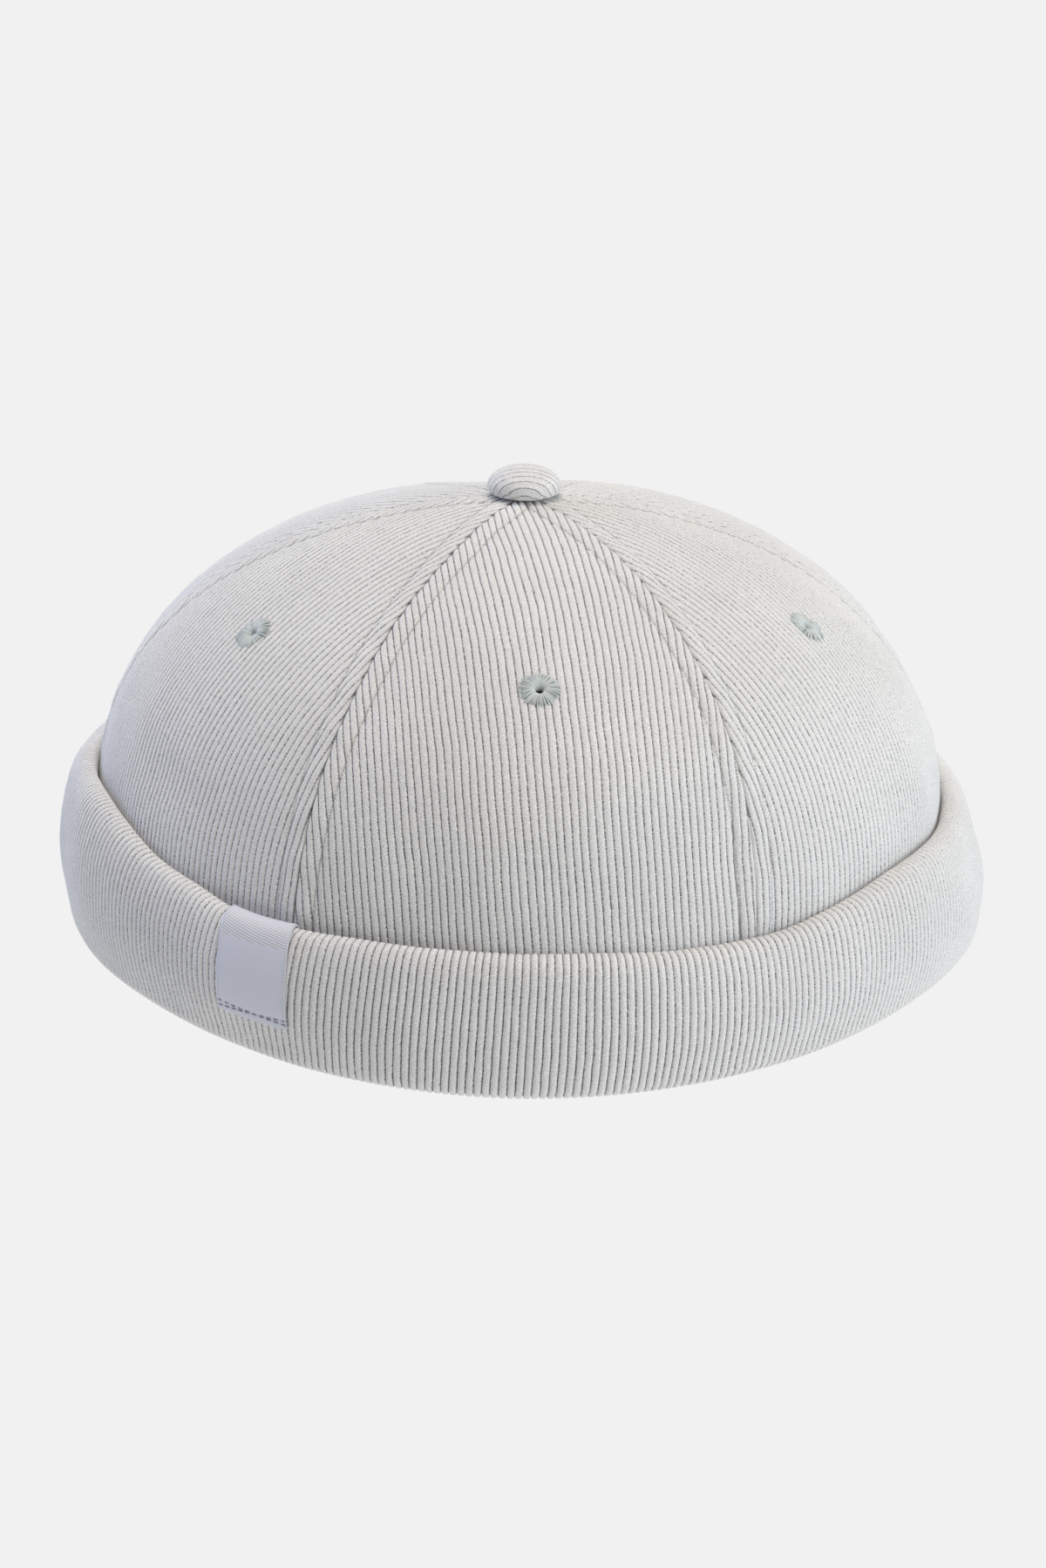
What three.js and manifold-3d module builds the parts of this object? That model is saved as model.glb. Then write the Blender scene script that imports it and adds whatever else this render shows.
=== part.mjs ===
// A docker cap: a brimless crown of six corduroy panels, closed by a covered button,
// with a wide cuff of the same cloth turned up round it.
//
// Units are millimetres and degrees. +Z is up, the front of the cap faces -Y, and the cuff
// stands on Z = 0. The wearer's right is -X, so the label is on the wearer's right temple.
//
// Azimuth runs from the front (0) towards +X. It is the angle of the oval that the cap is
// drawn on: a point at azimuth a lies at (halfWidth * sin a, -halfDepth * cos a).

import * as THREE from "three";
import { mergeVertices } from "three/addons/utils/BufferGeometryUtils.js";
import Module from "manifold-3d";

const wasm = await Module();
wasm.setup();

// Crown: the oval of its outside at the widest, and its height from the floor at the apex.
const crownHalfWidth = 92.8;
const crownHalfDepth = 97.7;
const crownHeight = 93.3;
// Up to here the crown's side stands upright, and above it the dome begins.
const uprightHeight = 5.4;
// The dome is a superellipse. A higher sideFullness squares its shoulder, and a higher
// topFullness flattens its top.
const sideFullness = 1.725;
const topFullness = 3.293;
// The panels turn by this much on their way from the hem to the button, most of it high up.
const crownTwist = 5;
const twistGrowth = 1.75;
// Near the button the front panel is wider than the back one: the seams at its sides bow
// away from the front by up to half of this angle, and a higher growth keeps the bow higher.
const crownBow = 5;
const bowGrowth = 6;

// Panels.
const panelWall = 1.8;
const seamGap = 0.3;
const tipClearance = 1.7;
// The seam allowances lift the cloth beside each seam, out to the row of topstitching,
// where the thread pulls it into a shallow valley.
const seamLift = 0.45;
const stitchOffset = 4.2;
const stitchValley = 0.25;
const stitchValleyWidth = 1.3;

// Cuff: a band folded double over its top edge, and turned in under the crown's hem.
const cuffHeight = 36.8;
const cuffWall = 1.6;
const cuffSlit = 2.9;
// The fold rises by cuffFoldRise. Its crest lies cuffFoldCrest out from the inner layer, less
// the tilt that leans it against the crown.
const cuffFoldRise = 9;
const cuffFoldCrest = 1.9;
const cuffFoldTilt = 2.2;
const cuffFootRadius = 4;
const cuffClearance = 0.4;
const cuffBulge = 1.1;
const cuffSpread = 4;
const cuffLean = 1.5;
const cuffLipOverhang = 0.4;
const cuffSlitMouth = 1.2;
const hemClearance = 0.3;

// Eyelets: overcast thread round a small hole, one in each panel.
const eyeletRadius = 4;
const eyeletHoleRadius = 1;
const eyeletThread = 0.7;
const eyeletRimHeight = 0.5;
const eyeletBackRadius = 2.7;
const eyeletBackHeight = 0.6;
// The cloth's inside curves away round the back of an eyelet, which stands clear by this.
const eyeletBackClearance = 0.6;

// Button: a covered dome, and the rivet that holds it through the apex.
const buttonRadius = 8;
const buttonHeight = 5.9;
const buttonRim = 1.9;
const buttonSocketDepth = 2;
const rivetRadius = 1.5;
const rivetBackRadius = 6;
const rivetBackHeight = 1.2;

// Label: a woven tape folded over the cuff's top edge.
const labelAzimuth = -32.5;
const labelWidth = 16;
const labelWall = 0.8;
const labelFootHeight = 10.5;
const labelTuck = 6;

// Pieces that touch on the real cap keep this gap here.
const contactGap = 0.3;

// Fineness of the facets.
const panelRows = 15;
const panelInnerColumns = 6;
const cuffSteps = 90;
const eyeletSides = 12;
const drillSides = 16;
const buttonSides = 24;
const buttonArcSteps = 6;
const rivetSides = 14;
const labelColumns = 4;

// The panels in order of azimuth, named for the wearer's side. Each eyelet was set by hand:
// up is the height of its centre, as a share of crownHeight, and aside its azimuth from the
// panel's middle.
const panels = [
  { name: "front", up: 0.789, aside: 0.4 },
  { name: "front_left", up: 0.797, aside: 1.5 },
  { name: "back_left", up: 0.7, aside: 0 },
  { name: "back", up: 0.74, aside: 0 },
  { name: "back_right", up: 0.7, aside: 0 },
  { name: "front_right", up: 0.791, aside: 1.7 },
];

// The cuff round the cap. height is a share of cuffHeight. lean is a share of cuffLean: how
// far the top edge stands away from the crown. foot is a share of cuffSpread: how far the
// foot stands out past the top edge.
const cuffSections = [
  { azimuth: 0, height: 0.79, lean: 0.4, foot: 0.44 },
  { azimuth: 33, height: 0.755, lean: 0.3, foot: 0 },
  { azimuth: 54, height: 0.845, lean: 0.4, foot: -0.07 },
  { azimuth: 75, height: 0.83, lean: 0.64, foot: 0.6 },
  { azimuth: 110, height: 0.83, lean: 0.6, foot: 0.84 },
  { azimuth: 150, height: 0.8, lean: 0.5, foot: 0.47 },
  { azimuth: 210, height: 0.8, lean: 0.5, foot: 0.17 },
  { azimuth: 250, height: 0.86, lean: 0.5, foot: 0 },
  { azimuth: 289, height: 0.975, lean: 0.1, foot: -0.25 },
  { azimuth: 308, height: 0.88, lean: 0.1, foot: -0.6 },
  { azimuth: 324, height: 0.815, lean: 0.3, foot: -0.41 },
  { azimuth: 335, height: 0.8, lean: 0.3, foot: -0.07 },
];

// Shallow slack places in the crown. up is a share of crownHeight, wide and tall are shares
// of crownHalfWidth, and depth is a share of panelWall. A negative depth is a soft swelling.
const crownDents = [
  { azimuth: -14, up: 0.42, wide: 0.1, tall: 0.2, depth: 0.45 },
  { azimuth: -58, up: 0.5, wide: 0.2, tall: 0.06, depth: 0.4 },
  { azimuth: 27, up: 0.46, wide: 0.06, tall: 0.07, depth: 0.35 },
  { azimuth: 70, up: 0.5, wide: 0.22, tall: 0.14, depth: -0.35 },
  { azimuth: 85, up: 0.62, wide: 0.45, tall: 0.22, depth: 0.39 },
  { azimuth: 90, up: 0.4, wide: 0.5, tall: 0.12, depth: -0.35 },
  { azimuth: 118, up: 0.46, wide: 0.18, tall: 0.14, depth: 0.4 },
  { azimuth: 108, up: 0.92, wide: 0.6, tall: 0.12, depth: -0.18 },
  { azimuth: 180, up: 0.88, wide: 0.7, tall: 0.18, depth: 1.42 },
  { azimuth: 196, up: 0.48, wide: 0.24, tall: 0.12, depth: 0.45 },
];

const radians = THREE.MathUtils.degToRad;
const panelHalfAngle = Math.PI / panels.length;
const crownMeanRadius = (crownHalfWidth + crownHalfDepth) / 2;
const hemHeight = cuffWall + hemClearance;
const tipRadius = rivetRadius + tipClearance;

// One value per azimuth from a table, by a smooth closed curve through its rows.
function around(rows, column, azimuth) {
  const count = rows.length;
  const knot = (index) => {
    const row = rows[THREE.MathUtils.euclideanModulo(index, count)];
    return { at: row.azimuth + 360 * Math.floor(index / count), value: row[column] };
  };
  const slope = (index) => {
    const [before, after] = [knot(index - 1), knot(index + 1)];
    return (after.value - before.value) / (after.at - before.at);
  };
  const turn = THREE.MathUtils.euclideanModulo(azimuth, 360);
  const start = rows.filter((row) => row.azimuth <= turn).length - 1;
  const [from, to] = [knot(start), knot(start + 1)];
  const span = to.at - from.at;
  const t = (turn - from.at) / span;
  const blend = t * t * (3 - 2 * t);
  const bend = t * (1 - t) * ((1 - t) * slope(start) - t * slope(start + 1));
  return from.value + (to.value - from.value) * blend + span * bend;
}

// The smallest turn from one azimuth to another, in degrees.
function turnBetween(from, to) {
  return THREE.MathUtils.euclideanModulo(to - from + 180, 360) - 180;
}

// The meridian, from hem to apex: radius as a share of the oval, and height.
function domeHeightAt(radiusShare) {
  const rise = (1 - radiusShare ** sideFullness) ** (1 / topFullness);
  return uprightHeight + (crownHeight - uprightHeight) * rise;
}

// The meridian's points by their distance along it, found from a fine tracing.
const tracedSteps = 900;
const meridian = [{ radius: 1, height: hemHeight, length: 0 }];
for (let step = 0; step <= tracedSteps; step++) {
  const radius = Math.cos((step / tracedSteps) * (Math.PI / 2)) ** (2 / sideFullness);
  const height = domeHeightAt(radius);
  const last = meridian[meridian.length - 1];
  const run = Math.hypot((radius - last.radius) * crownHalfWidth, height - last.height);
  meridian.push({ radius, height, length: last.length + run });
}
const meridianLength = meridian[meridian.length - 1].length;

function meridianAt(share) {
  const wanted = share * meridianLength;
  const above = Math.max(1, meridian.findIndex((point) => point.length >= wanted));
  const [from, to] = [meridian[above - 1], meridian[above]];
  const mix = (wanted - from.length) / Math.max(to.length - from.length, 1e-9);
  return {
    radius: from.radius + (to.radius - from.radius) * mix,
    height: from.height + (to.height - from.height) * mix,
  };
}

// The share of the meridian at its first point that passes a test.
function shareWhere(reached) {
  return meridian.find(reached).length / meridianLength;
}

const tipShare = shareWhere((point) => point.radius <= tipRadius / crownHalfWidth);

// How strong the bow is on the way up, from 0 to 1 and back to 0 at the apex.
const bowPeak = (bowGrowth / (bowGrowth + 1)) ** bowGrowth / (bowGrowth + 1);

function bowAt(share) {
  return (share ** bowGrowth * (1 - share)) / bowPeak;
}

// A point of the crown's plain outside. The azimuth is in radians and turns with the twist.
function crownBase(azimuth, share) {
  const { radius, height } = meridianAt(share);
  const twist = radians(crownTwist) * share ** twistGrowth;
  const bow = radians(crownBow) * bowAt(share) * Math.sin(azimuth);
  const turned = azimuth + twist + bow;
  return new THREE.Vector3(
    crownHalfWidth * radius * Math.sin(turned),
    -crownHalfDepth * radius * Math.cos(turned),
    height,
  );
}

// The way out of a surface that is given as a point for each azimuth and share.
function outwardNormal(surface, azimuth, share) {
  const step = 1e-3;
  const low = THREE.MathUtils.clamp(share, step, 1 - 2 * step);
  const across = surface(azimuth + step, low).sub(surface(azimuth - step, low));
  const up = surface(azimuth, low + step).sub(surface(azimuth, low - step));
  return across.cross(up).normalize();
}

// How far the cloth lies below the plain crown. The dents fade out towards the button.
function dentAt(azimuth, share) {
  const { radius, height } = meridianAt(share);
  const pastButton = (radius * crownHalfWidth - buttonRadius) / (2 * buttonRadius);
  const fade = THREE.MathUtils.clamp(pastButton, 0, 1);
  return crownDents.reduce((sum, dent) => {
    const turn = turnBetween(dent.azimuth, THREE.MathUtils.radToDeg(azimuth));
    const aside = radians(turn) / dent.wide;
    const above = (height - dent.up * crownHeight) / (dent.tall * crownHalfWidth);
    return sum + fade * dent.depth * panelWall * Math.exp(-aside * aside - above * above);
  }, 0);
}

// A point of the cloth's outside where no seam lifts it.
function clothPoint(azimuth, share) {
  const normal = outwardNormal(crownBase, azimuth, share);
  return crownBase(azimuth, share).addScaledVector(normal, -dentAt(azimuth, share));
}

// How far the cloth stands above the plain crown at a distance from the seam. It slopes up
// over the last share of the allowance and is level from there to the seam.
const allowanceSlope = 0.4;
function seamRelief(distance) {
  const inside = THREE.MathUtils.clamp(1 - distance / stitchOffset, 0, 1);
  const lifted = seamLift * Math.min(1, inside / allowanceSlope);
  const fromStitch = (distance - stitchOffset) / stitchValleyWidth;
  return lifted - stitchValley * Math.exp(-fromStitch * fromStitch);
}

// A closed solid from two grids of points that face each other, walled round their edges.
function solidBetween(outside, inside) {
  const rows = outside.length;
  const columns = outside[0].length;
  const positions = [...outside.flat(), ...inside.flat()].flatMap((point) => point.toArray());
  const outer = (row, column) => row * columns + column;
  const inner = (row, column) => rows * columns + row * columns + column;
  const triangles = [];
  const quad = (a, b, c, d) => triangles.push(a, b, c, a, c, d);
  const [top, end] = [rows - 1, columns - 1];
  for (let row = 0; row < top; row++) {
    for (let column = 0; column < end; column++) {
      const [r, c] = [row + 1, column + 1];
      quad(outer(row, column), outer(row, c), outer(r, c), outer(r, column));
      quad(inner(row, column), inner(r, column), inner(r, c), inner(row, c));
    }
    quad(outer(row, 0), outer(row + 1, 0), inner(row + 1, 0), inner(row, 0));
    quad(outer(row, end), inner(row, end), inner(row + 1, end), outer(row + 1, end));
  }
  for (let column = 0; column < end; column++) {
    const c = column + 1;
    quad(outer(0, column), inner(0, column), inner(0, c), outer(0, c));
    quad(outer(top, column), outer(top, c), inner(top, c), inner(top, column));
  }
  return indexedGeometry(positions, triangles);
}

// A closed ring from one closed outline per step round the cap.
function ringSolid(sections) {
  const count = sections.length;
  const points = sections[0].length;
  const positions = sections.flat().flatMap((point) => point.toArray());
  const at = (section, point) => (section % count) * points + (point % points);
  const triangles = [];
  for (let section = 0; section < count; section++) {
    for (let point = 0; point < points; point++) {
      const a = at(section, point);
      const b = at(section + 1, point);
      const c = at(section + 1, point + 1);
      const d = at(section, point + 1);
      triangles.push(a, b, c, a, c, d);
    }
  }
  return indexedGeometry(positions, triangles);
}

function indexedGeometry(positions, triangles) {
  const geometry = new THREE.BufferGeometry();
  geometry.setAttribute("position", new THREE.Float32BufferAttribute(positions, 3));
  geometry.setIndex(triangles);
  geometry.computeVertexNormals();
  return geometry;
}

// A turned piece from its outline, given as radius and height.
function turned(outline, sides) {
  const points = outline.map(([radius, height]) => new THREE.Vector2(radius, height));
  return new THREE.LatheGeometry(points, sides);
}

function toSolid(geometry) {
  const bare = geometry.clone();
  bare.deleteAttribute("normal");
  bare.deleteAttribute("uv");
  const merged = mergeVertices(bare, 1e-4);
  return new wasm.Manifold(
    new wasm.Mesh({
      numProp: 3,
      vertProperties: new Float32Array(merged.attributes.position.array),
      triVerts: new Uint32Array(merged.index.array),
    }),
  );
}

function fromSolid(solid) {
  const mesh = solid.getMesh();
  return indexedGeometry(Array.from(mesh.vertProperties), Array.from(mesh.triVerts));
}

// Materials.
function cloth(colour, roughness) {
  return new THREE.MeshStandardMaterial({ color: colour, roughness, metalness: 0 });
}
const corduroy = cloth(0xcfd1cf, 0.95);
const eyeletCotton = cloth(0xbfc5c1, 0.8);
const labelSatin = cloth(0xadafbd, 0.5);
const rivetSteel = new THREE.MeshStandardMaterial({
  color: 0xa9abad,
  roughness: 0.4,
  metalness: 1,
});

// Where a panel's columns of points lie, as distances from its middle. They crowd at both
// seams: on the seam, on the level allowance, at the stitching and past its valley. Near
// the tip they keep to shares of the half width.
function panelColumns(halfWidth) {
  const levelWidth = (1 - allowanceSlope) * stitchOffset;
  const fromSeam = [0, levelWidth, stitchOffset, stitchOffset + stitchValleyWidth];
  const tipShares = [0, 0.25, 0.4, 0.55];
  const left = fromSeam.map((distance, k) => {
    return Math.min(distance, tipShares[k] * halfWidth) - halfWidth;
  });
  const inmost = left[left.length - 1];
  const middle = [];
  for (let k = 1; k < panelInnerColumns; k++) {
    middle.push(inmost * (1 - (2 * k) / panelInnerColumns));
  }
  const right = left.map((aside) => -aside).reverse();
  return [...left, ...middle, ...right];
}

// One crown panel, from its hem to its tip.
function crownPanel(centre) {
  const outside = [];
  const inside = [];
  for (let row = 0; row <= panelRows; row++) {
    const share = (row / panelRows) * tipShare;
    const rowRadius = crownMeanRadius * meridianAt(share).radius;
    const halfWidth = rowRadius * panelHalfAngle - seamGap / 2;
    const [outerRow, innerRow] = [[], []];
    for (const aside of panelColumns(halfWidth)) {
      const azimuth = centre + aside / rowRadius;
      const base = crownBase(azimuth, share);
      const normal = outwardNormal(crownBase, azimuth, share);
      const dent = dentAt(azimuth, share);
      const relief = seamRelief(halfWidth - Math.abs(aside)) - dent;
      outerRow.push(base.clone().addScaledVector(normal, relief));
      innerRow.push(base.clone().addScaledVector(normal, -panelWall - dent));
    }
    outside.push(outerRow);
    inside.push(innerRow);
  }
  return solidBetween(outside, inside);
}

// Where an eyelet sits: a point on the cloth, and the turn that sets its axis on the way out.
function eyeletSeat(azimuth, up) {
  const share = shareWhere((reached) => reached.height >= up * crownHeight);
  const point = clothPoint(azimuth, share);
  const normal = outwardNormal(clothPoint, azimuth, share);
  const turn = new THREE.Quaternion().setFromUnitVectors(new THREE.Vector3(0, 1, 0), normal);
  return { point, turn };
}

const eyeletBarrelRadius = eyeletHoleRadius + eyeletThread;

function piercedPanel(centre, seat) {
  const holeRadius = eyeletBarrelRadius + contactGap;
  const drillLength = 6 * panelWall;
  const drill = new THREE.CylinderGeometry(holeRadius, holeRadius, drillLength, drillSides);
  drill.applyQuaternion(seat.turn);
  drill.translate(...seat.point.toArray());
  return fromSolid(toSolid(crownPanel(centre)).subtract(toSolid(drill)));
}

// An eyelet about its own axis. Height 0 is the outside of the cloth.
function eyeletGeometry() {
  const back = -(panelWall + eyeletBackClearance);
  const shoulder = contactGap + 0.6 * eyeletRimHeight;
  const outline = [
    [eyeletHoleRadius, back - eyeletBackHeight],
    [eyeletBackRadius, back - eyeletBackHeight],
    [eyeletBackRadius, back],
    [eyeletBarrelRadius, back],
    [eyeletBarrelRadius, contactGap],
    [eyeletRadius, contactGap],
    [0.85 * eyeletRadius, shoulder],
    [(eyeletRadius + eyeletHoleRadius) / 2, contactGap + eyeletRimHeight],
    [eyeletHoleRadius, shoulder],
  ];
  return turned([...outline, outline[0]], eyeletSides);
}

// The button's dome, with the socket that the rivet's post goes up into. Height 0 is the
// crown's apex. The dome clears the lifted seams under it.
const apexLift = seamLift + contactGap;

function dropAt(radius) {
  return crownHeight - domeHeightAt(radius / crownHalfWidth);
}

function buttonGeometry() {
  const rimFloor = apexLift - dropAt(buttonRadius);
  const socketRadius = rivetRadius + contactGap;
  const domeRadius = 0.985 * buttonRadius;
  const outline = [
    [0, apexLift + buttonSocketDepth],
    [socketRadius, apexLift + buttonSocketDepth],
    [socketRadius, apexLift],
    [0.9 * buttonRadius, rimFloor],
    [buttonRadius, rimFloor + buttonRim / 2],
  ];
  for (let step = 0; step < buttonArcSteps; step++) {
    const angle = (step / buttonArcSteps) * (Math.PI / 2);
    const rise = (buttonHeight - buttonRim) * Math.sin(angle);
    outline.push([domeRadius * Math.cos(angle), rimFloor + buttonRim + rise]);
  }
  return turned([...outline, [0, rimFloor + buttonHeight]], buttonSides);
}

// The rivet: a post through the apex, and a plate under the panels' tips.
function rivetGeometry() {
  const plateTop = -(panelWall + dropAt(rivetBackRadius) + contactGap);
  const plateFoot = plateTop - rivetBackHeight;
  const postTop = apexLift + buttonSocketDepth - contactGap;
  const outline = [
    [0, plateFoot],
    [0.85 * rivetBackRadius, plateFoot],
    [rivetBackRadius, plateTop - rivetBackHeight / 2],
    [rivetBackRadius, plateTop],
    [rivetRadius, plateTop],
    [rivetRadius, postTop],
    [0, postTop],
  ];
  return turned(outline, rivetSides);
}

// Round the label the cuff stands out by the label's own thickness.
const labelSpan = THREE.MathUtils.radToDeg(labelWidth / (crownMeanRadius + cuffWall));

function labelRoomAt(azimuth) {
  const aside = turnBetween(labelAzimuth, azimuth) / labelSpan;
  return (labelWall + contactGap) * Math.exp(-(aside ** 4));
}

// How far the crown's side has drawn in at a height.
function crownInsetAt(height) {
  return crownHalfWidth * (1 - meridian.find((point) => point.height >= height).radius);
}

// The cuff's cloth, followed from the lip under the hem, round the foot, up the face, over
// the fold and down towards the hem again. along counts those stretches: -2 to -1 the lip,
// -1 to 0 the foot, 0 to 1 the face, 1 to 2 the fold, and 2 to 3 the inner layer.
// The result is the distance out from the crown's oval, the height, and the outward turn.
function cuffLine(azimuth, along) {
  const top = cuffHeight * around(cuffSections, "height", azimuth);
  const lean = cuffLean * around(cuffSections, "lean", azimuth) + labelRoomAt(azimuth);
  const spread = cuffSpread * around(cuffSections, "foot", azimuth);
  const hemOut = seamLift + cuffClearance;
  const bandWidth = 2 * cuffWall + cuffSlit;
  const foldHeight = top - cuffFoldRise;
  const foldOut = hemOut - crownInsetAt(foldHeight) + lean;
  const footOut = hemOut + bandWidth + spread;
  const footCentre = footOut - cuffFootRadius;
  if (along <= -1) {
    const lipEnd = -(panelWall + cuffLipOverhang);
    return { out: lipEnd + (footCentre - lipEnd) * (along + 2), height: 0, turn: -90 };
  }
  if (along <= 0) {
    const turn = 90 * along;
    const out = footCentre + cuffFootRadius * Math.cos(radians(turn));
    return { out, height: cuffFootRadius * (1 + Math.sin(radians(turn))), turn };
  }
  if (along <= 1) {
    const height = cuffFootRadius + (foldHeight - cuffFootRadius) * along;
    const swell = cuffBulge * Math.sin(Math.PI * along);
    const out = footOut + (foldOut + bandWidth - footOut) * along + swell;
    return { out, height, turn: 0 };
  }
  if (along <= 2) {
    const turn = 180 * (along - 1);
    const [across, up] = [Math.cos(radians(turn)), Math.sin(radians(turn))];
    const reach = turn < 90 ? bandWidth - cuffFoldCrest : cuffFoldCrest;
    const out = foldOut + cuffFoldCrest + reach * across - cuffFoldTilt * up;
    return { out, height: foldHeight + cuffFoldRise * up, turn };
  }
  const end = cuffWall + cuffSlitMouth;
  const height = foldHeight + (end - foldHeight) * (along - 2);
  return { out: hemOut + (foldOut - hemOut) * (3 - along), height, turn: 180 };
}

function cuffPoint(azimuth, along, offset) {
  const line = cuffLine(azimuth, along);
  const out = line.out + offset * Math.cos(radians(line.turn));
  return new THREE.Vector3(
    (crownHalfWidth + out) * Math.sin(radians(azimuth)),
    -(crownHalfDepth + out) * Math.cos(radians(azimuth)),
    line.height + offset * Math.sin(radians(line.turn)),
  );
}

const footStations = [-2, -1, -0.5, 0, 0.5];
const foldStations = [1, 1.2, 1.35, 1.5, 1.65, 1.8, 2];

function cuffGeometry() {
  const stations = [...footStations, ...foldStations, 3];
  const sections = [];
  for (let step = 0; step < cuffSteps; step++) {
    const azimuth = (360 * step) / cuffSteps;
    const outer = stations.map((along) => cuffPoint(azimuth, along, 0));
    const inner = stations.map((along) => cuffPoint(azimuth, along, -cuffWall));
    sections.push([...outer, ...inner.reverse()]);
  }
  return ringSolid(sections);
}

// The label follows the cuff from its sewn foot, over the fold, into the gap behind it.
function labelGeometry() {
  const faceTop = cuffLine(labelAzimuth, 1).height;
  const innerLength = cuffLine(labelAzimuth, 2).height - cuffLine(labelAzimuth, 3).height;
  const foot = (labelFootHeight - cuffFootRadius) / (faceTop - cuffFootRadius);
  const stations = [foot, (1 + foot) / 2, ...foldStations, 2 + labelTuck / innerLength];
  const [outside, inside] = [[], []];
  for (const along of stations) {
    const [outerRow, innerRow] = [[], []];
    for (let column = 0; column <= labelColumns; column++) {
      const azimuth = labelAzimuth + labelSpan * (column / labelColumns - 0.5);
      outerRow.push(cuffPoint(azimuth, along, contactGap + labelWall));
      innerRow.push(cuffPoint(azimuth, along, contactGap));
    }
    outside.push(outerRow);
    inside.push(innerRow);
  }
  return solidBetween(outside, inside);
}

// Assembly.
function addPiece(group, name, geometry, material) {
  const mesh = new THREE.Mesh(geometry, material);
  mesh.name = name;
  group.add(mesh);
  return mesh;
}

const cap = new THREE.Group();

panels.forEach((panel, index) => {
  const centre = index * 2 * panelHalfAngle;
  const seat = eyeletSeat(centre + radians(panel.aside), panel.up);
  addPiece(cap, `panel_${panel.name}`, piercedPanel(centre, seat), corduroy);
  const eyelet = addPiece(cap, `eyelet_${panel.name}`, eyeletGeometry(), eyeletCotton);
  eyelet.position.copy(seat.point);
  eyelet.quaternion.copy(seat.turn);
});

addPiece(cap, "cuff", cuffGeometry(), corduroy);
addPiece(cap, "label", labelGeometry(), labelSatin);

// The button and its rivet share the upright axis through the apex.
const apex = new THREE.Group();
apex.position.z = crownHeight;
apex.rotation.x = Math.PI / 2;
addPiece(apex, "button", buttonGeometry(), corduroy);
addPiece(apex, "button_rivet", rivetGeometry(), rivetSteel);
cap.add(apex);

// The origin is on the floor, under the middle of the whole cap.
const middle = new THREE.Box3().setFromObject(cap).getCenter(new THREE.Vector3());
cap.position.set(-middle.x, -middle.y, 0);

export default cap;
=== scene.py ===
# %% [markdown]
# # A docker cap in fine corduroy
#
# A docker cap is a brimless cap: six panels sewn into a dome, a covered button where they meet,
# an overcast eyelet in each panel, and a wide cuff turned up round the hem. The frame that is
# loaded here has every piece at its real size, as plain solids. Each cell below makes one piece
# again with its real surface: the wales of the cloth, the seams, the stitches and the threads.

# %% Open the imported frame
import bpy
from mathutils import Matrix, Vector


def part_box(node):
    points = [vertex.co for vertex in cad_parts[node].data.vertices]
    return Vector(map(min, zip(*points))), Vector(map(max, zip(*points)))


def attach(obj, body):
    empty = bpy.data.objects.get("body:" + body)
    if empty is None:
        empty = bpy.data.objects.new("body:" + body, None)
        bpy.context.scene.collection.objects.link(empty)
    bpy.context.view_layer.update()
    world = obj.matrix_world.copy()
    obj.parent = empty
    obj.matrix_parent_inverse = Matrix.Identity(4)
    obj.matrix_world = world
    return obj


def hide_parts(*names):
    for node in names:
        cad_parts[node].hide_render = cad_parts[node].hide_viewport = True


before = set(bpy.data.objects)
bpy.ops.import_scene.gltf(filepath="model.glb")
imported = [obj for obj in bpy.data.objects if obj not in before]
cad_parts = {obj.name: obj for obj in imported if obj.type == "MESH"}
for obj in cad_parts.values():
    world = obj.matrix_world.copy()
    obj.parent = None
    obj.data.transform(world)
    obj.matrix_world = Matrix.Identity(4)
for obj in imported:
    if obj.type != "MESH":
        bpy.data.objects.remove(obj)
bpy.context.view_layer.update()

# %% Libraries
import math

import bmesh
import bpy
import numpy as np
from mathutils import Matrix, Vector

# %% [markdown]
# ## Sizes
#
# A pattern maker starts from a few measures: the head's oval, the height of the crown, the width
# of the cuff. They could be read off the frame's meshes, but a form that has a rule is easier to
# follow as numbers, so the same driving sizes are named here, in millimetres. The place comes
# from the frame: the button stands on the crown's upright axis.

# %% Sizes of the crown, in millimetres
MM = 0.001
button_low, button_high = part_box("button")
axis = (button_low + button_high) / (2 * MM)

crown_half_width = 92.8
crown_half_depth = 97.7
crown_height = 93.3
upright_height = 5.4
side_fullness = 1.725
top_fullness = 3.293
crown_twist = math.radians(5)
twist_growth = 1.75
crown_bow = math.radians(5)
bow_growth = 6
crown_mean_radius = (crown_half_width + crown_half_depth) / 2
panel_half_angle = math.pi / 6
panel_wall = 1.8
hem_height = 1.9
tip_radius = 3.2
print("crown axis at", round(axis.x, 2), round(axis.y, 2), "mm")

# %% Sizes of the cloth and the seams, in millimetres
wale_pitch = 1.65
wale_depth = 0.48
seam_gap = 0.1
seam_lift = 0.45
seam_roll = 0.5
seam_reach = 10
stitch_offset = 4.2
stitch_length = 3.2

# %% [markdown]
# ## The crown's surface
#
# Each panel is cut so that the six together make a squarish dome. Such a form could be sculpted
# or draped over a head, but its outline is regular enough for a formula: a superellipse from hem
# to apex, carried round an oval. A place on it is given by its azimuth, from the front towards
# the wearer's left, and by its share of the way from hem to apex.

# %% The meridian and the plain crown
def dome_height(radius):
    """Height above the floor at a radius, which is a share of the oval."""
    rise = np.clip(1 - radius**side_fullness, 0, 1) ** (1 / top_fullness)
    return upright_height + (crown_height - upright_height) * rise


trace_turn = np.linspace(0, math.pi / 2, 901)
trace_radius = np.concatenate([[1], np.clip(np.cos(trace_turn), 0, 1) ** (2 / side_fullness)])
trace_height = np.concatenate([[hem_height], dome_height(trace_radius[1:])])
trace_steps = np.hypot(np.diff(trace_radius) * crown_half_width, np.diff(trace_height))
trace_length = np.concatenate([[0], np.cumsum(trace_steps)])
meridian_length = trace_length[-1]


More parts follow.
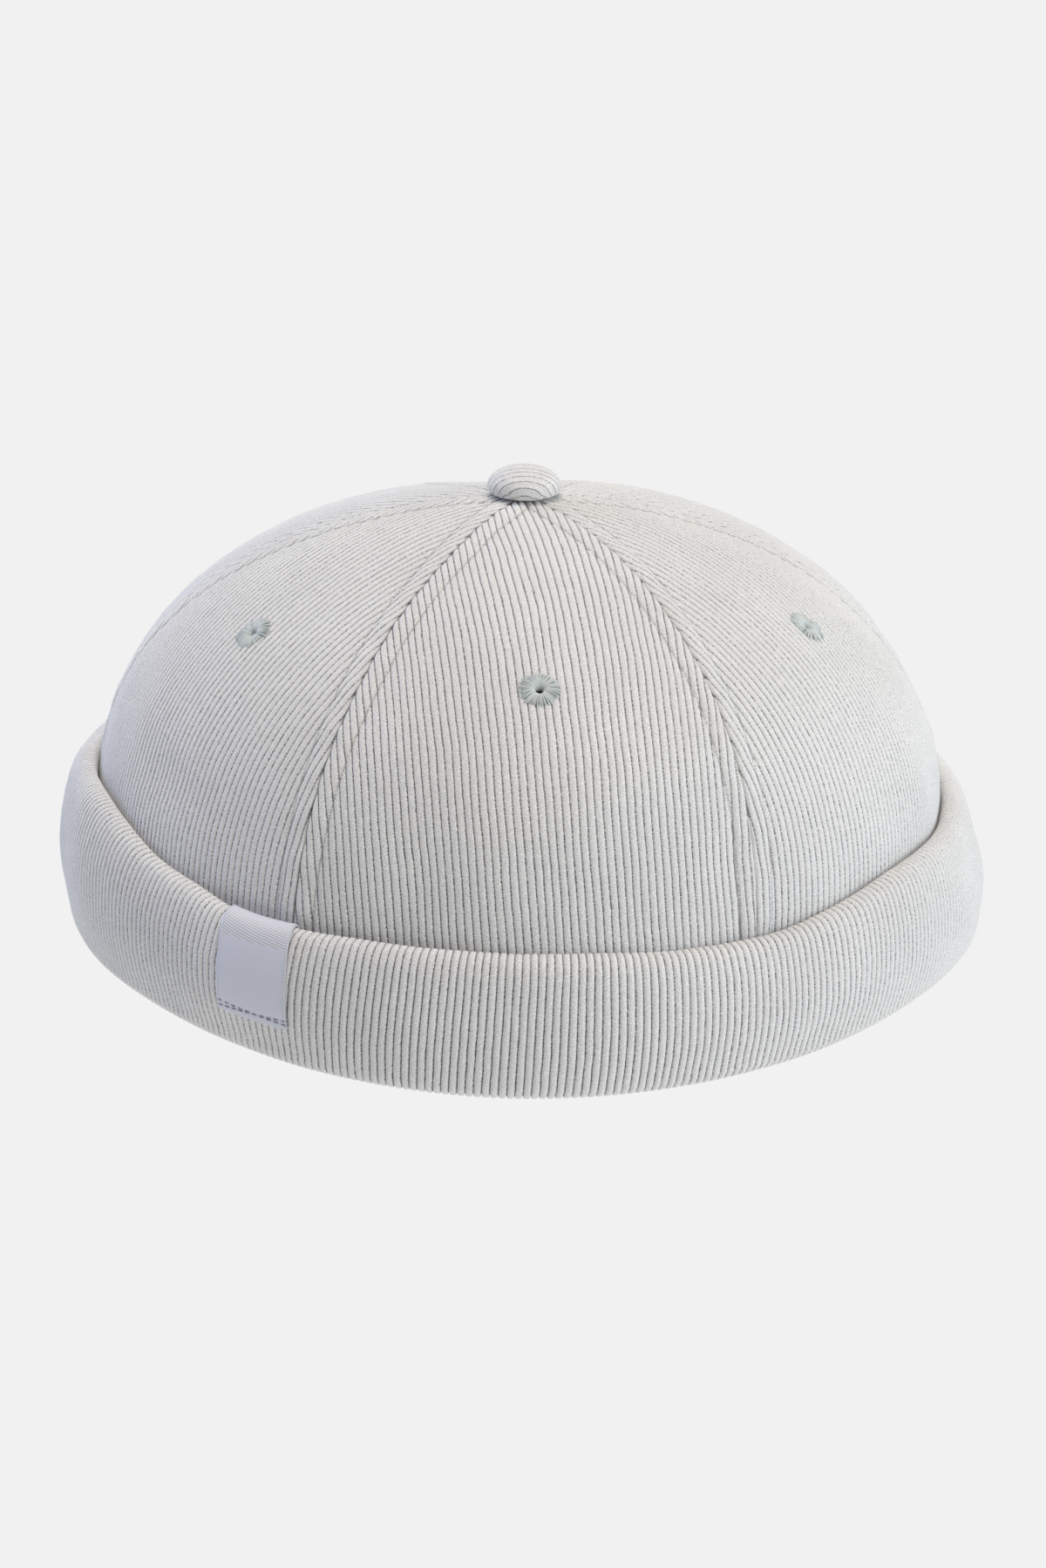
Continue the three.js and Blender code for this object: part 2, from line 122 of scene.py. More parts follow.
def meridian(share):
    """Radius and height at a share of the way from hem to apex."""
    length = np.asarray(share) * meridian_length
    radius = np.interp(length, trace_length, trace_radius)
    return radius, np.interp(length, trace_length, trace_height)


def bow_at(share):
    """How strongly the seams bow away from the front: 0 at hem and apex, 1 high on the crown."""
    peak = (bow_growth / (bow_growth + 1)) ** bow_growth / (bow_growth + 1)
    return share**bow_growth * (1 - share) / peak


def crown_base(azimuth, share):
    radius, height = meridian(share)
    turned = azimuth + crown_twist * share**twist_growth + crown_bow * bow_at(share) * np.sin(azimuth)
    x = crown_half_width * radius * np.sin(turned)
    y = -crown_half_depth * radius * np.cos(turned)
    return np.stack([x, y, height + 0 * azimuth], axis=-1)


print("hem to apex:", round(meridian_length, 1), "mm along the cloth")

# %% The way out of a surface
def outward(surface, azimuth, share):
    step = 1e-3
    low = np.clip(share, step, 1 - 2 * step)
    across = surface(azimuth + step, low) - surface(azimuth - step, low)
    up = surface(azimuth, low + step) - surface(azimuth, low - step)
    normal = np.cross(across, up)
    return normal / np.linalg.norm(normal, axis=-1, keepdims=True)


# %% [markdown]
# ## Slack places
#
# An empty cap never keeps its pattern's shape: the cloth caves in a little where nothing fills
# it and swells where a seam pushes it. Cloth simulation could find such places, but not these
# ones, so each is a soft bump listed one by one: where it is, how wide and tall, and how deep.

# %% Dents of the crown
# azimuth in degrees, height as a share of crown_height, width and height of the dent as shares
# of crown_half_width, depth as a share of panel_wall
crown_dents = [
    (-14, 0.42, 0.1, 0.2, 0.45),
    (-58, 0.5, 0.2, 0.06, 0.4),
    (27, 0.46, 0.06, 0.07, 0.35),
    (70, 0.5, 0.22, 0.14, -0.35),
    (85, 0.62, 0.45, 0.22, 0.39),
    (90, 0.4, 0.5, 0.12, -0.35),
    (118, 0.46, 0.18, 0.14, 0.4),
    (108, 0.92, 0.6, 0.12, -0.18),
    (180, 0.88, 0.7, 0.18, 1.42),
    (196, 0.48, 0.24, 0.12, 0.45),
]
button_radius = 8


def turn_between(start, end):
    return (end - start + 180) % 360 - 180


def dent_at(azimuth, share):
    radius, height = meridian(share)
    clear = (radius * crown_half_width - button_radius) / (2 * button_radius)
    fade = np.clip(clear, 0, 1)
    total = 0
    for place, up, wide, tall, depth in crown_dents:
        aside = np.radians(turn_between(place, np.degrees(azimuth))) / wide
        above = (height - up * crown_height) / (tall * crown_half_width)
        total = total + fade * depth * panel_wall * np.exp(-(aside**2) - above**2)
    return total


def cloth_point(azimuth, share):
    normal = outward(crown_base, azimuth, share)
    return crown_base(azimuth, share) - normal * dent_at(azimuth, share)[..., None]


# %% [markdown]
# ## Meshes from numbers
#
# Cloth that follows a rule is quickest to make as a grid of points: one row for each height, one
# column for each place across. Two such grids, an outer and an inner one, become a closed wall
# when their edges are sewn together. The helper that sews takes the next point of whichever edge
# lags behind, so the two edges may have different numbers of points.

# %% Helpers for grids
def shares_along(points):
    steps = np.linalg.norm(np.diff(points, axis=0), axis=1)
    length = np.concatenate([[0], np.cumsum(steps)])
    return length / length[-1]


def sew_edges(first, second, points):
    """Triangles between two rows of point numbers that run side by side."""
    at_first, at_second = shares_along(points[first]), shares_along(points[second])
    faces = []
    i, j = 0, 0
    while i < len(first) - 1 or j < len(second) - 1:
        ahead_first = at_first[i + 1] if i < len(first) - 1 else math.inf
        ahead_second = at_second[j + 1] if j < len(second) - 1 else math.inf
        if ahead_first <= ahead_second:
            faces.append((first[i], first[i + 1], second[j]))
            i += 1
        else:
            faces.append((first[i], second[j + 1], second[j]))
            j += 1
    return faces


def grid_faces(index):
    """Faces of a grid of point numbers. Points that share a number close up the face."""
    corners = np.stack([index[:-1, :-1], index[:-1, 1:], index[1:, 1:], index[1:, :-1]], axis=-1)
    faces = (tuple(dict.fromkeys(corner)) for corner in corners.reshape(-1, 4).tolist())
    return [face for face in faces if len(face) > 2]


# %% A mesh object from points in millimetres
def make_mesh(name, points, faces, maps, face_slots=None):
    """Points are in millimetres from the crown's axis. maps has a name and the points' places."""
    points = np.asarray(points) + [axis.x, axis.y, 0]
    used = np.unique(np.concatenate([np.asarray(face) for face in faces]))
    renumber = np.full(len(points), -1)
    renumber[used] = np.arange(len(used))
    mesh = bpy.data.meshes.new(name)
    faces = [[int(renumber[corner]) for corner in face] for face in faces]
    mesh.from_pydata((points[used] * MM).tolist(), [], faces)
    if face_slots is not None:
        mesh.polygons.foreach_set("material_index", face_slots)
    corners = np.empty(len(mesh.loops), dtype=np.int32)
    mesh.loops.foreach_get("vertex_index", corners)
    for map_name, places in maps.items():
        layer = mesh.uv_layers.new(name=map_name)
        layer.data.foreach_set("uv", np.asarray(places)[used][corners].ravel())
    shape = bmesh.new()
    shape.from_mesh(mesh)
    bmesh.ops.recalc_face_normals(shape, faces=shape.faces)
    shape.to_mesh(mesh)
    shape.free()
    mesh.shade_smooth()
    made = bpy.data.objects.new(name, mesh)
    bpy.context.scene.collection.objects.link(made)
    return made


# %% Slow waves, for cloth that is never quite even
def waves(points, wavelength, seed):
    """A smooth random value from -1 to 1 at each point, from a few crossing waves."""
    rng = np.random.default_rng(seed)
    total = 0
    count = 9
    for _ in range(count):
        direction = rng.normal(size=3)
        direction /= np.linalg.norm(direction)
        pitch = wavelength * rng.uniform(0.7, 1.5)
        phase = rng.uniform(0, 2 * math.pi)
        total = total + np.sin(points @ direction * 2 * math.pi / pitch + phase)
    return total / count**0.5 / 1.5


# how far a wale strays from its line, and over what length, in millimetres
wale_drifts = [(0.13, 17), (0.06, 4)]


def wander(points, seed):
    return sum(far * waves(points, length, seed + k) for k, (far, length) in enumerate(wale_drifts))


# %% [markdown]
# ## Corduroy
#
# Corduroy has cords of cut pile, called wales, with a bare groove of ground weave between them.
# This one is fine: a wale every 1.65 mm. A bump map alone would leave the outline and the seams
# smooth, so the wales are real ribs here, with six points across each: one in the groove, two on
# its walls and three over the round top. The finest fibres stay with the material.

# %% The profile of a wale
wale_samples = np.array([0, 0.1, 0.25, 0.5, 0.75, 0.9])
wale_fullness = 3.2


def wale_relief(wales):
    """Depth below the wale's top, in millimetres, at a place counted in wales."""
    from_top = np.abs(2 * (wales % 1) - 1)
    return wale_depth * ((1 - from_top**wale_fullness) ** 0.5 - 1)


def wale_columns(reach):
    """Places across the cloth, in millimetres, out past a reach on both sides."""
    count = math.ceil(reach / wale_pitch) + 1
    wales = np.arange(-count, count)[:, None] + wale_samples[None, :]
    return wales.ravel() * wale_pitch


print("points across a wale:", len(wale_samples))

# %% [markdown]
# ## Crown panels
#
# Two panels are sewn face to face, and their allowances are pressed open and topstitched 4.2 mm
# from the seam. That gives a low raised band along each seam, cloth that rolls down into the
# seam itself, and a narrow valley under each row of stitches. The wales run straight up the
# middle of a panel and are cut off slantwise by its seams. The grid's columns follow the wales,
# and a column that meets the seam ends there.

# %% Relief of a panel beside its seams
allowance_slope = 0.4
valley_width = 1.3
valley_depth = 0.12
thread_valley_width = 0.4
thread_valley_depth = 0.22
pucker_length = 9
pucker_share = 0.25
pucker_shift = 7
allowance_lift = 0.7
front_lap = 0.45


def seam_relief(distance, along, azimuth):
    inside = np.clip(1 - distance / stitch_offset, 0, 1)
    # the allowances lie unevenly, and the panel in front laps a little over the next one
    pucker = np.sin(2 * math.pi * along / pucker_length + pucker_shift * np.sin(azimuth * 3))
    fullness = 1 - pucker_share + pucker_share * pucker
    lapped = 1 + front_lap * np.cos(azimuth)
    slope = np.minimum(1, inside / allowance_slope)
    lifted = allowance_lift * seam_lift * lapped * fullness * slope
    from_stitch = distance - stitch_offset
    valley = valley_depth * np.exp(-((from_stitch / valley_width) ** 2))
    # the needle pulls the cloth in at both ends of each stitch
    pull = 0.6 + 0.4 * np.cos(2 * math.pi * along / stitch_length)
    valley = valley + thread_valley_depth * pull * np.exp(-((from_stitch / thread_valley_width) ** 2))
    into_roll = np.clip(1 - distance / seam_roll, 0, 1)
    rolled = seam_roll * (1 - np.sqrt(1 - into_roll**2))
    return lifted - valley - rolled


# %% The outer and inner grid of a panel
# a wale strays less and less over this distance from the seam, and a seam gapes less by this much
straight_reach = 3
seam_tightness = 0.3


def panel_grid(centre, grain, columns, along, lift):
    """Points, map in wales, distance from the seam and point numbers of one face of a panel."""
    share = along / meridian_length
    row_radius = crown_mean_radius * meridian(share)[0]
    half = row_radius * panel_half_angle - seam_gap / 2
    drift = math.tan(math.radians(grain)) * (along - meridian_length / 2)
    aside = np.clip(columns[None, :] - drift[:, None], -half[:, None], half[:, None])
    azimuth = centre + aside / row_radius[:, None]
    share = np.broadcast_to(share[:, None], aside.shape)
    clear_of_seam = np.clip((half[:, None] - np.abs(aside)) / straight_reach, 0, 1)
    wandered = clear_of_seam * wander(crown_base(azimuth, share), 31)
    azimuth = azimuth + wandered / row_radius[:, None]
    length = np.broadcast_to(along[:, None], aside.shape)
    normal = outward(crown_base, azimuth, share)
    wales = (aside + drift[:, None]) / wale_pitch
    height = lift(aside, half[:, None], azimuth, share, length, wales)
    points = crown_base(azimuth, share) + normal * height[..., None]
    first = np.searchsorted(columns, drift - half, side="right") - 1
    last = np.searchsorted(columns, drift + half)
    column = np.clip(np.arange(len(columns))[None, :], first[:, None], last[:, None])
    index = column + np.arange(len(along))[:, None] * len(columns)
    cloth_map = np.stack([aside + drift[:, None], length], axis=-1) / wale_pitch
    # the seam at the front right is the slackest, so it gapes the most
    tight = seam_tightness * np.abs(np.sin(azimuth + panel_half_angle))
    near_seam = np.clip(seam_reach - tight - (half[:, None] - np.abs(aside)), 0, None)
    seam_map = np.stack([near_seam, length], axis=-1)
    return points.reshape(-1, 3), cloth_map.reshape(-1, 2), seam_map.reshape(-1, 2), index


def border(index):
    """The four edges of a grid of point numbers: hem, right, tip and left."""
    sides = [index[0], index[:, -1], index[-1], index[:, 0]]
    return [np.array(list(dict.fromkeys(side.tolist()))) for side in sides]


# %% Sew one panel
tip_share = np.interp(-tip_radius / crown_half_width, -trace_radius, trace_length) / meridian_length
tip_along = tip_share * meridian_length
hidden_along = 16
middle_along = 84
outer_along = np.concatenate([
    np.arange(0, hidden_along, 4),
    np.arange(hidden_along, middle_along, 1.25),
    np.arange(middle_along, tip_along - 0.4, 0.8),
    [tip_along],
])
inner_along = np.linspace(0, tip_along, 22)


# the cloth swells and ripples by these heights over these lengths, and a wale's height wavers
# from one wale to the next, by an angle so odd that it never repeats
swell_height, swell_length = 0.22, 34
ripple_height, ripple_length = 0.05, 5
waver_height, waver_turn, waver_along = 0.05, 12.9898, 0.11


def crown_swell(points):
    return swell_height * waves(points, swell_length, 3)


def outer_lift(aside, half, azimuth, share, along, wales):
    plain = crown_base(azimuth, share)
    relief = seam_relief(half - np.abs(aside), along, azimuth) - dent_at(azimuth, share)
    uneven = crown_swell(plain) + ripple_height * waves(plain, ripple_length, 4)
    relief = relief + waver_height * np.sin(np.floor(wales) * waver_turn + along * waver_along)
    return relief + uneven + wale_relief(wales)


def inner_lift(aside, half, azimuth, share, along, wales):
    return -panel_wall - dent_at(azimuth, share) + 0 * aside


def sew_panel(name, centre, grain):
    drift = abs(math.tan(math.radians(grain))) * meridian_length / 2
    reach = crown_mean_radius * panel_half_angle + drift
    outer, outer_map, outer_seams, outer_index = panel_grid(
        centre, grain, wale_columns(reach), outer_along, outer_lift)
    columns = np.linspace(-reach - 3, reach + 3, 20)
    inner, inner_map, inner_seams, inner_index = panel_grid(centre, 0, columns, inner_along, inner_lift)
    inner_index = inner_index + len(outer)
    points = np.concatenate([outer, inner])
    faces = grid_faces(outer_index) + grid_faces(inner_index)
    outside = len(grid_faces(outer_index))
    for first, second in zip(border(outer_index), border(inner_index)):
        faces += sew_edges(first, second, points)
    slots = [0] * outside + [1] * (len(faces) - outside)
    maps = {
        "cloth": np.concatenate([outer_map, inner_map]),
        "seams": np.concatenate([outer_seams, 0 * inner_seams]),
    }
    return make_mesh(name, points, faces, maps, slots)


# %% Make the six panels
# azimuth of the middle in degrees, height of the eyelet as a share of crown_height, the eyelet's
# azimuth from the middle in degrees, and the lean of the wales in degrees: no panel is cut
# exactly along the grain
panels = {
    "front": (0, 0.789, 0.4, 7),
    "front_left": (60, 0.797, 1.5, -4),
    "back_left": (120, 0.7, 0, 3),
    "back": (180, 0.74, 0, -2),
    "back_right": (240, 0.7, 0, 2),
    "front_right": (300, 0.791, 1.7, 4),
}
panel_objects = {}
for name, (middle, _, _, grain) in panels.items():
    panel_objects[name] = sew_panel(f"crown_panel_{name}", math.radians(middle), grain)
    print(f"crown_panel_{name}:", len(panel_objects[name].data.polygons), "faces")

# %% [markdown]
# ## Eyelet holes
#
# The hole is punched before it is overcast. A Boolean is the plain way to punch one: a short
# cylinder, set on the cloth with its axis along the way out, is taken away from the panel.

# %% Punch the holes
punch_radius = 2
punch_sides = 24


def eyelet_seat(name):
    """The place of an eyelet and the turn of its axis, as a matrix in metres."""
    middle, up, aside, _ = panels[name]
    azimuth = np.array(math.radians(middle + aside))
    share = np.interp(up * crown_height, trace_height, trace_length) / meridian_length
    share = np.array(share)
    point = cloth_point(azimuth, share) + [axis.x, axis.y, 0]
    normal = Vector(outward(cloth_point, azimuth, share))
    turn = Vector((0, 0, 1)).rotation_difference(normal).to_matrix().to_4x4()
    return Matrix.Translation(Vector(point) * MM) @ turn


def punch(target, seat):
    bpy.ops.mesh.primitive_cylinder_add(vertices=punch_sides, radius=punch_radius * MM, depth=10 * MM)
    drill = bpy.context.object
    drill.data.transform(seat)
    cut = target.modifiers.new("hole", "BOOLEAN")
    cut.operation = "DIFFERENCE"
    cut.object = drill
    cut.solver = "MANIFOLD"
    ready = target.evaluated_get(bpy.context.evaluated_depsgraph_get())
    punched = bpy.data.meshes.new_from_object(ready)
    target.modifiers.remove(cut)
    target.data = punched
    bpy.data.objects.remove(drill)


seats = {name: eyelet_seat(name) for name in panels}
for name, piece in panel_objects.items():
    before = len(piece.data.polygons)
    punch(piece, seats[name])
    print(f"{piece.name}: hole at", seats[name].translation, before, len(piece.data.polygons))

# %% [markdown]
# ## Cuff
#
# The cuff is one band of the same cloth: it comes from under the hem, turns up round a soft
# foot, rises, and folds back down behind itself. Its section is drawn once, as a walk along the
# cloth, and its height and lean vary round the head by a smooth curve through a few listed
# places. The wales run up the band, lean a little to one side, and roll over the fold.

# %% Sizes of the cuff
cuff_height = 36.8
cuff_wall = 1.6
cuff_slit = 2.9
cuff_fold_rise = 9
cuff_fold_crest = 1.9
cuff_fold_tilt = 2.2
cuff_foot_radius = 4
cuff_clearance = 0.4
cuff_bulge = 1.1
cuff_spread = 4
cuff_lean = 1.5
cuff_lip_overhang = 0.4
cuff_slit_mouth = 1.2
fold_touch = 0.35
fold_power = 0.66
label_azimuth = -32.5
label_width = 16
label_wall = 0.8
contact_gap = 0.3
# azimuth in degrees, then shares of cuff_height, of cuff_lean and of cuff_spread
cuff_sections = np.array([
    (0, 0.79, 0.4, 0.44),
    (33, 0.755, 0.3, 0),
    (54, 0.845, 0.4, -0.07),
    (75, 0.805, 0.64, 0.6),
    (110, 0.785, 0.6, 0.84),
    (150, 0.8, 0.5, 0.47),
    (210, 0.8, 0.5, 0.17),
    (250, 0.86, 0.5, 0),
    (289, 0.975, 0.1, -0.25),
    (308, 0.88, 0.1, -0.6),
    (324, 0.8, 0.3, -0.41),
    (335, 0.8, 0.3, -0.07),
])
section_height, section_lean, section_foot = 1, 2, 3

# %% A smooth closed curve through the sections
def around(column, azimuth):
    count = len(cuff_sections)
    before = cuff_sections[-2:] - [360, 0, 0, 0]
    after = cuff_sections[:3] + [360, 0, 0, 0]
    rows = np.concatenate([before, cuff_sections, after])
    at, value = rows[:, 0], rows[:, column]
    slope = np.zeros(len(at))
    slope[1:-1] = (value[2:] - value[:-2]) / (at[2:] - at[:-2])
    turn = np.asarray(azimuth) % 360
    start = np.clip(np.searchsorted(at, turn, side="right") - 1, 2, count + 1)
    span = at[start + 1] - at[start]
    t = (turn - at[start]) / span
    blend = t * t * (3 - 2 * t)
    bend = t * (1 - t) * ((1 - t) * slope[start] - t * slope[start + 1])
    return value[start] + (value[start + 1] - value[start]) * blend + span * bend


# %% The walk along the cuff's cloth
label_span = math.degrees(label_width / (crown_mean_radius + cuff_wall))
hem_out = seam_lift + cuff_clearance
band_width = 2 * cuff_wall + cuff_slit


def crown_inset(height):
    """How far the crown's side has drawn in at a height."""
    return crown_half_width * (1 - np.interp(height, trace_height, trace_radius))


def cuff_line(azimuth, along):
    """Distance out from the crown's oval, height, and the outward turn in radians.
    along goes from -2 to -1 over the lip, to 0 round the foot, to 1 up the face, to 2 over
    the fold and to 3 down the inner layer."""
    top = cuff_height * around(section_height, azimuth)
    from_label = turn_between(label_azimuth, azimuth) / label_span
    room = (label_wall + contact_gap) * np.exp(-(from_label**4))
    plain_lean = cuff_lean * around(section_lean, azimuth)
    lean = plain_lean + room
    spread = cuff_spread * around(section_foot, azimuth)
    fold_height = top - cuff_fold_rise
    fold_out = hem_out - crown_inset(fold_height) + lean
    foot_out = hem_out + band_width + spread
    foot_centre = foot_out - cuff_foot_radius
    lip_end = -(panel_wall + cuff_lip_overhang)
    end = cuff_wall + cuff_slit_mouth
    along = along + 0 * azimuth
    stretch = [along <= -1, along <= 0, along <= 1, along <= 2]
    turn = np.select(stretch, [-math.pi / 2, math.pi / 2 * along, 0, math.pi * (along - 1)], math.pi)
    face_run = fold_out + band_width - foot_out
    # the fold is full on the outside, and inside it settles against the crown
    snug = hem_out + plain_lean - fold_touch
    outside = turn < math.pi / 2
    reach = np.where(outside, band_width - cuff_fold_crest, cuff_fold_crest + snug)
    power = np.where(outside, fold_power, 1)
    round_out = np.sign(np.cos(turn)) * np.abs(np.cos(turn)) ** power
    round_up = np.clip(np.sin(turn), 0, 1) ** power
    out = np.select(stretch, [
        lip_end + (foot_centre - lip_end) * (along + 2),
        foot_centre + cuff_foot_radius * np.cos(turn),
        foot_out + face_run * along + cuff_bulge * np.sin(math.pi * along),
        fold_out + cuff_fold_crest + reach * round_out - cuff_fold_tilt * round_up,
    ], hem_out + (fold_out - snug - hem_out) * (3 - along))
    height = np.select(stretch, [
        0,
        cuff_foot_radius * (1 + np.sin(turn)),
        cuff_foot_radius + (fold_height - cuff_foot_radius) * along,
        fold_height + cuff_fold_rise * round_up,
    ], fold_height + (end - fold_height) * (along - 2))
    return out, height, turn


def cuff_point(azimuth, along, offset):
    out, height, turn = cuff_line(azimuth, along)
    out = out + offset * np.cos(turn)
    angle = np.radians(azimuth)
    x = (crown_half_width + out) * np.sin(angle)
    y = -(crown_half_depth + out) * np.cos(angle)
    return np.stack([x, y, height + offset * np.sin(turn)], axis=-1)


# %% Rows and wales of the cuff
cuff_rows = np.concatenate([
    [-2, -1.5],
    np.linspace(-1, 0, 5)[:-1],
    np.linspace(0, 1, 14)[:-1],
    np.linspace(1, 2, 13),
    [2.1, 2.25, 2.6, 3],
])
middle_line = cuff_point(np.zeros(len(cuff_rows)), cuff_rows, 0)
cuff_steps = np.linalg.norm(np.diff(middle_line, axis=0), axis=1)
cuff_length = np.concatenate([[0], np.cumsum(cuff_steps)])
face_radius = crown_mean_radius + hem_out + band_width
cuff_wales = round(2 * math.pi * face_radius / wale_pitch)
# the wales lean by this much on their way along the band
cuff_slant = math.radians(2.5)
print("cuff:", cuff_wales, "wales, band", round(cuff_length[-1], 1), "mm wide")

# %% Weave the cuff
join_azimuth = 180
join_width = 0.9
join_depth = 0.7
# bent outwards over the band, the wales stand up more than they do on the crown
cuff_wale_stand = 1.55
cuff_swell_height, cuff_swell_length = 0.25, 26


def weave_cuff():
    wales = (np.arange(cuff_wales)[:, None] + wale_samples[None, :]).ravel()
    plain = wales / cuff_wales * 360
    lean = np.degrees(math.tan(cuff_slant) * (cuff_length - cuff_length[5]) / face_radius)
    azimuth = plain[None, :] + lean[:, None]
    along = np.broadcast_to(cuff_rows[:, None], azimuth.shape)
    flat = cuff_point(azimuth, along, 0)
    azimuth = azimuth + np.degrees(wander(flat, 41) / face_radius)
    clear_of_floor = np.clip(along + 0.6, 0, 1)
    uneven = cuff_swell_height * waves(flat, cuff_swell_length, 11)
    uneven = uneven + ripple_height * waves(flat, ripple_length, 12)
    number = np.floor(wales)[None, :]
    uneven = uneven + waver_height * np.sin(number * waver_turn + 2 * along)
    from_join = np.radians(turn_between(join_azimuth, plain)) * face_radius
    join = join_depth * np.exp(-((from_join / join_width) ** 2))[None, :]
    relief = cuff_wale_stand * wale_relief(wales)[None, :] - join + clear_of_floor * uneven
    outer = cuff_point(azimuth, along, relief)
    up_the_band = cuff_length[:, None] / wale_pitch
    outer_map = np.stack(np.broadcast_arrays(wales[None, :], up_the_band), axis=-1)
    return outer, outer_map


outer, outer_map = weave_cuff()
print("cuff grid:", outer.shape)

# %% Close the cuff's band
inner_rows = np.array([3, 2, 1.8, 1.65, 1.5, 1.35, 1.2, 1, 0.5, 0, -0.5, -1, -2])
inner_steps = 96


def close_cuff(outer, outer_map):
    inner_azimuth = np.arange(inner_steps) / inner_steps * 360
    azimuth, along = np.meshgrid(inner_azimuth, inner_rows)
    inner = cuff_point(azimuth, along, -cuff_wall)
    inner_map = np.stack([azimuth / 360 * cuff_wales, along * 20], axis=-1)

    def ring(points, first):
        index = np.arange(points.shape[0] * points.shape[1]).reshape(points.shape[:2]) + first
        return np.concatenate([index, index[:, :1]], axis=1)

    outer_index, inner_index = ring(outer, 0), ring(inner, outer.shape[0] * outer.shape[1])
    points = np.concatenate([outer.reshape(-1, 3), inner.reshape(-1, 3)])
    faces = grid_faces(outer_index)
    outside = len(faces)
    faces += grid_faces(inner_index)
    faces += sew_edges(outer_index[-1], inner_index[0], points)
    faces += sew_edges(outer_index[0], inner_index[-1], points)
    slots = [0] * outside + [1] * (len(faces) - outside)
    cloth_map = np.concatenate([outer_map.reshape(-1, 2), inner_map.reshape(-1, 2)])
    maps = {"cloth": cloth_map, "seams": 0 * cloth_map}
    return make_mesh("turned_up_cuff", points, faces, maps, slots)


cuff = close_cuff(outer, outer_map)
print("turned_up_cuff:", len(cuff.data.polygons), "faces")

# %% [markdown]
# ## Button
#
# A covered button is a steel cap with a disc of the same cloth stretched over it and gathered
# under its rim. The wales run from side to side. A turned profile makes the form. The cloth was
# flat before it was stretched over the dome, so the wales are counted along the cloth from the
# middle to the front and back.

# %% Turn the button
button_height = 5.9
button_rim = 1.9
rivet_radius = 1.5
button_turns = 168
# over the stretched dome the wales are this much as deep as on the crown
stretched_wale = 0.6
button_foot = crown_height + seam_lift + contact_gap
button_foot = button_foot - (crown_height - dome_height(button_radius / crown_half_width))


def button_outline():
    """Radius and height above the foot, from the middle of the top down and under."""
    angle = np.linspace(math.pi / 2, 0, 30)
    dome = np.stack([
        0.985 * button_radius * np.cos(angle),
        button_rim + (button_height - button_rim) * np.sin(angle),
    ], axis=-1)
    side = np.linspace(0, -math.pi / 2, 9)[1:]
    turned = np.stack([
        button_radius - button_rim + button_rim * np.cos(side),
        button_rim + button_rim * np.sin(side),
    ], axis=-1)
    socket = rivet_radius + contact_gap
    under = np.array([(4, 0.25), (socket, 0.35), (socket, 2.2), (0.01, 2.2)])
    return np.concatenate([dome[1:], turned, under]), len(dome) + len(turned) - 1


def turn_button():
    outline, covered = button_outline()
    length = np.concatenate([[0], np.cumsum(np.linalg.norm(np.diff(outline, axis=0), axis=1))])
    length = length + outline[0, 0]
    around_turn = np.arange(button_turns) / button_turns * 2 * math.pi
    x = np.sin(around_turn)[None, :]
    y = -np.cos(around_turn)[None, :]
    # the cloth is sheared a little over the dome: a wale lies halfway between a plane cut of the
    # dome and a straight line drawn on the flat cloth
    farthest = np.argmax(outline[:, 0]) + 1
    flat = np.interp(outline[:, :1] * np.abs(y), outline[:farthest, 0], length[:farthest])
    turned_down = length[:, None] - np.interp(outline[:, :1], outline[:farthest, 0], length[:farthest])
    across = 0.5 * (np.sign(y) * (flat + turned_down * y * y) + length[:, None] * y)
    cloth_map = np.stack([across, length[:, None] * x], axis=-1) / wale_pitch
    step = np.gradient(outline, axis=0)
    out = np.stack([-step[:, 1], step[:, 0]], axis=-1)
    out = out / np.linalg.norm(out, axis=1, keepdims=True)
    shown = (np.arange(len(outline)) < covered)[:, None]
    depth = np.where(shown, stretched_wale * wale_relief(cloth_map[..., 0] + 0.5), 0)
    radius = outline[:, :1] + out[:, :1] * depth
    height = button_foot + outline[:, 1:] + out[:, 1:] * depth
    points = np.stack([radius * x, radius * y, height], axis=-1)
    top = [[0, 0, button_foot + button_height]]
    points = np.concatenate([points.reshape(-1, 3), top])
    index = np.arange(len(outline) * button_turns).reshape(len(outline), button_turns)
    index = np.concatenate([index, index[:, :1]], axis=1)
    centre = len(points) - 1
    faces = grid_faces(index)
    faces += [(centre, index[0, k], index[0, k + 1]) for k in range(button_turns)]
    faces.append(tuple(index[-1, :-1].tolist()))
    cloth_map = np.concatenate([cloth_map.reshape(-1, 2), [[0, 0]]])
    return make_mesh("covered_button", points, faces, {"cloth": cloth_map, "seams": 0 * cloth_map})


button = turn_button()
print("covered_button:", len(button.data.polygons), "faces, foot at", round(button_foot, 2), "mm")

# %% [markdown]
# ## Label
#
# A woven tape is folded over the cuff's top edge and sewn down at its foot. It is a real strip
# of cloth, so it is laid along the same walk as the cuff, a little further out, with its own
# thickness. Its edges are woven, and its free right edge stands off the wales.

# %% Lay the label
label_foot_height = 10.1
label_tuck = 6
label_thickness = 0.4
label_gap = 0.15
# the label is sewn on a little askew. Its shift along the cuff, as a share of its width, is given
# at the foot, for each millimetre above it, and half way up the face, whose length is the last
drift_at_foot = 0.025
drift_upward = -0.0045
drift_half_way = 0.05
drift_face_length = 24
# the right edge of the face curls out, and the foot is pulled in by its stitches
curl_height = 0.35
curl_start = 0.3
stitch_pull = 0.1
stitch_pull_at = 1.6
stitch_pull_width = 0.8


def label_drift(length):
    bowed = np.sin(np.clip(length / drift_face_length, 0, 1) * math.pi)
    return drift_at_foot + drift_upward * length + drift_half_way * bowed


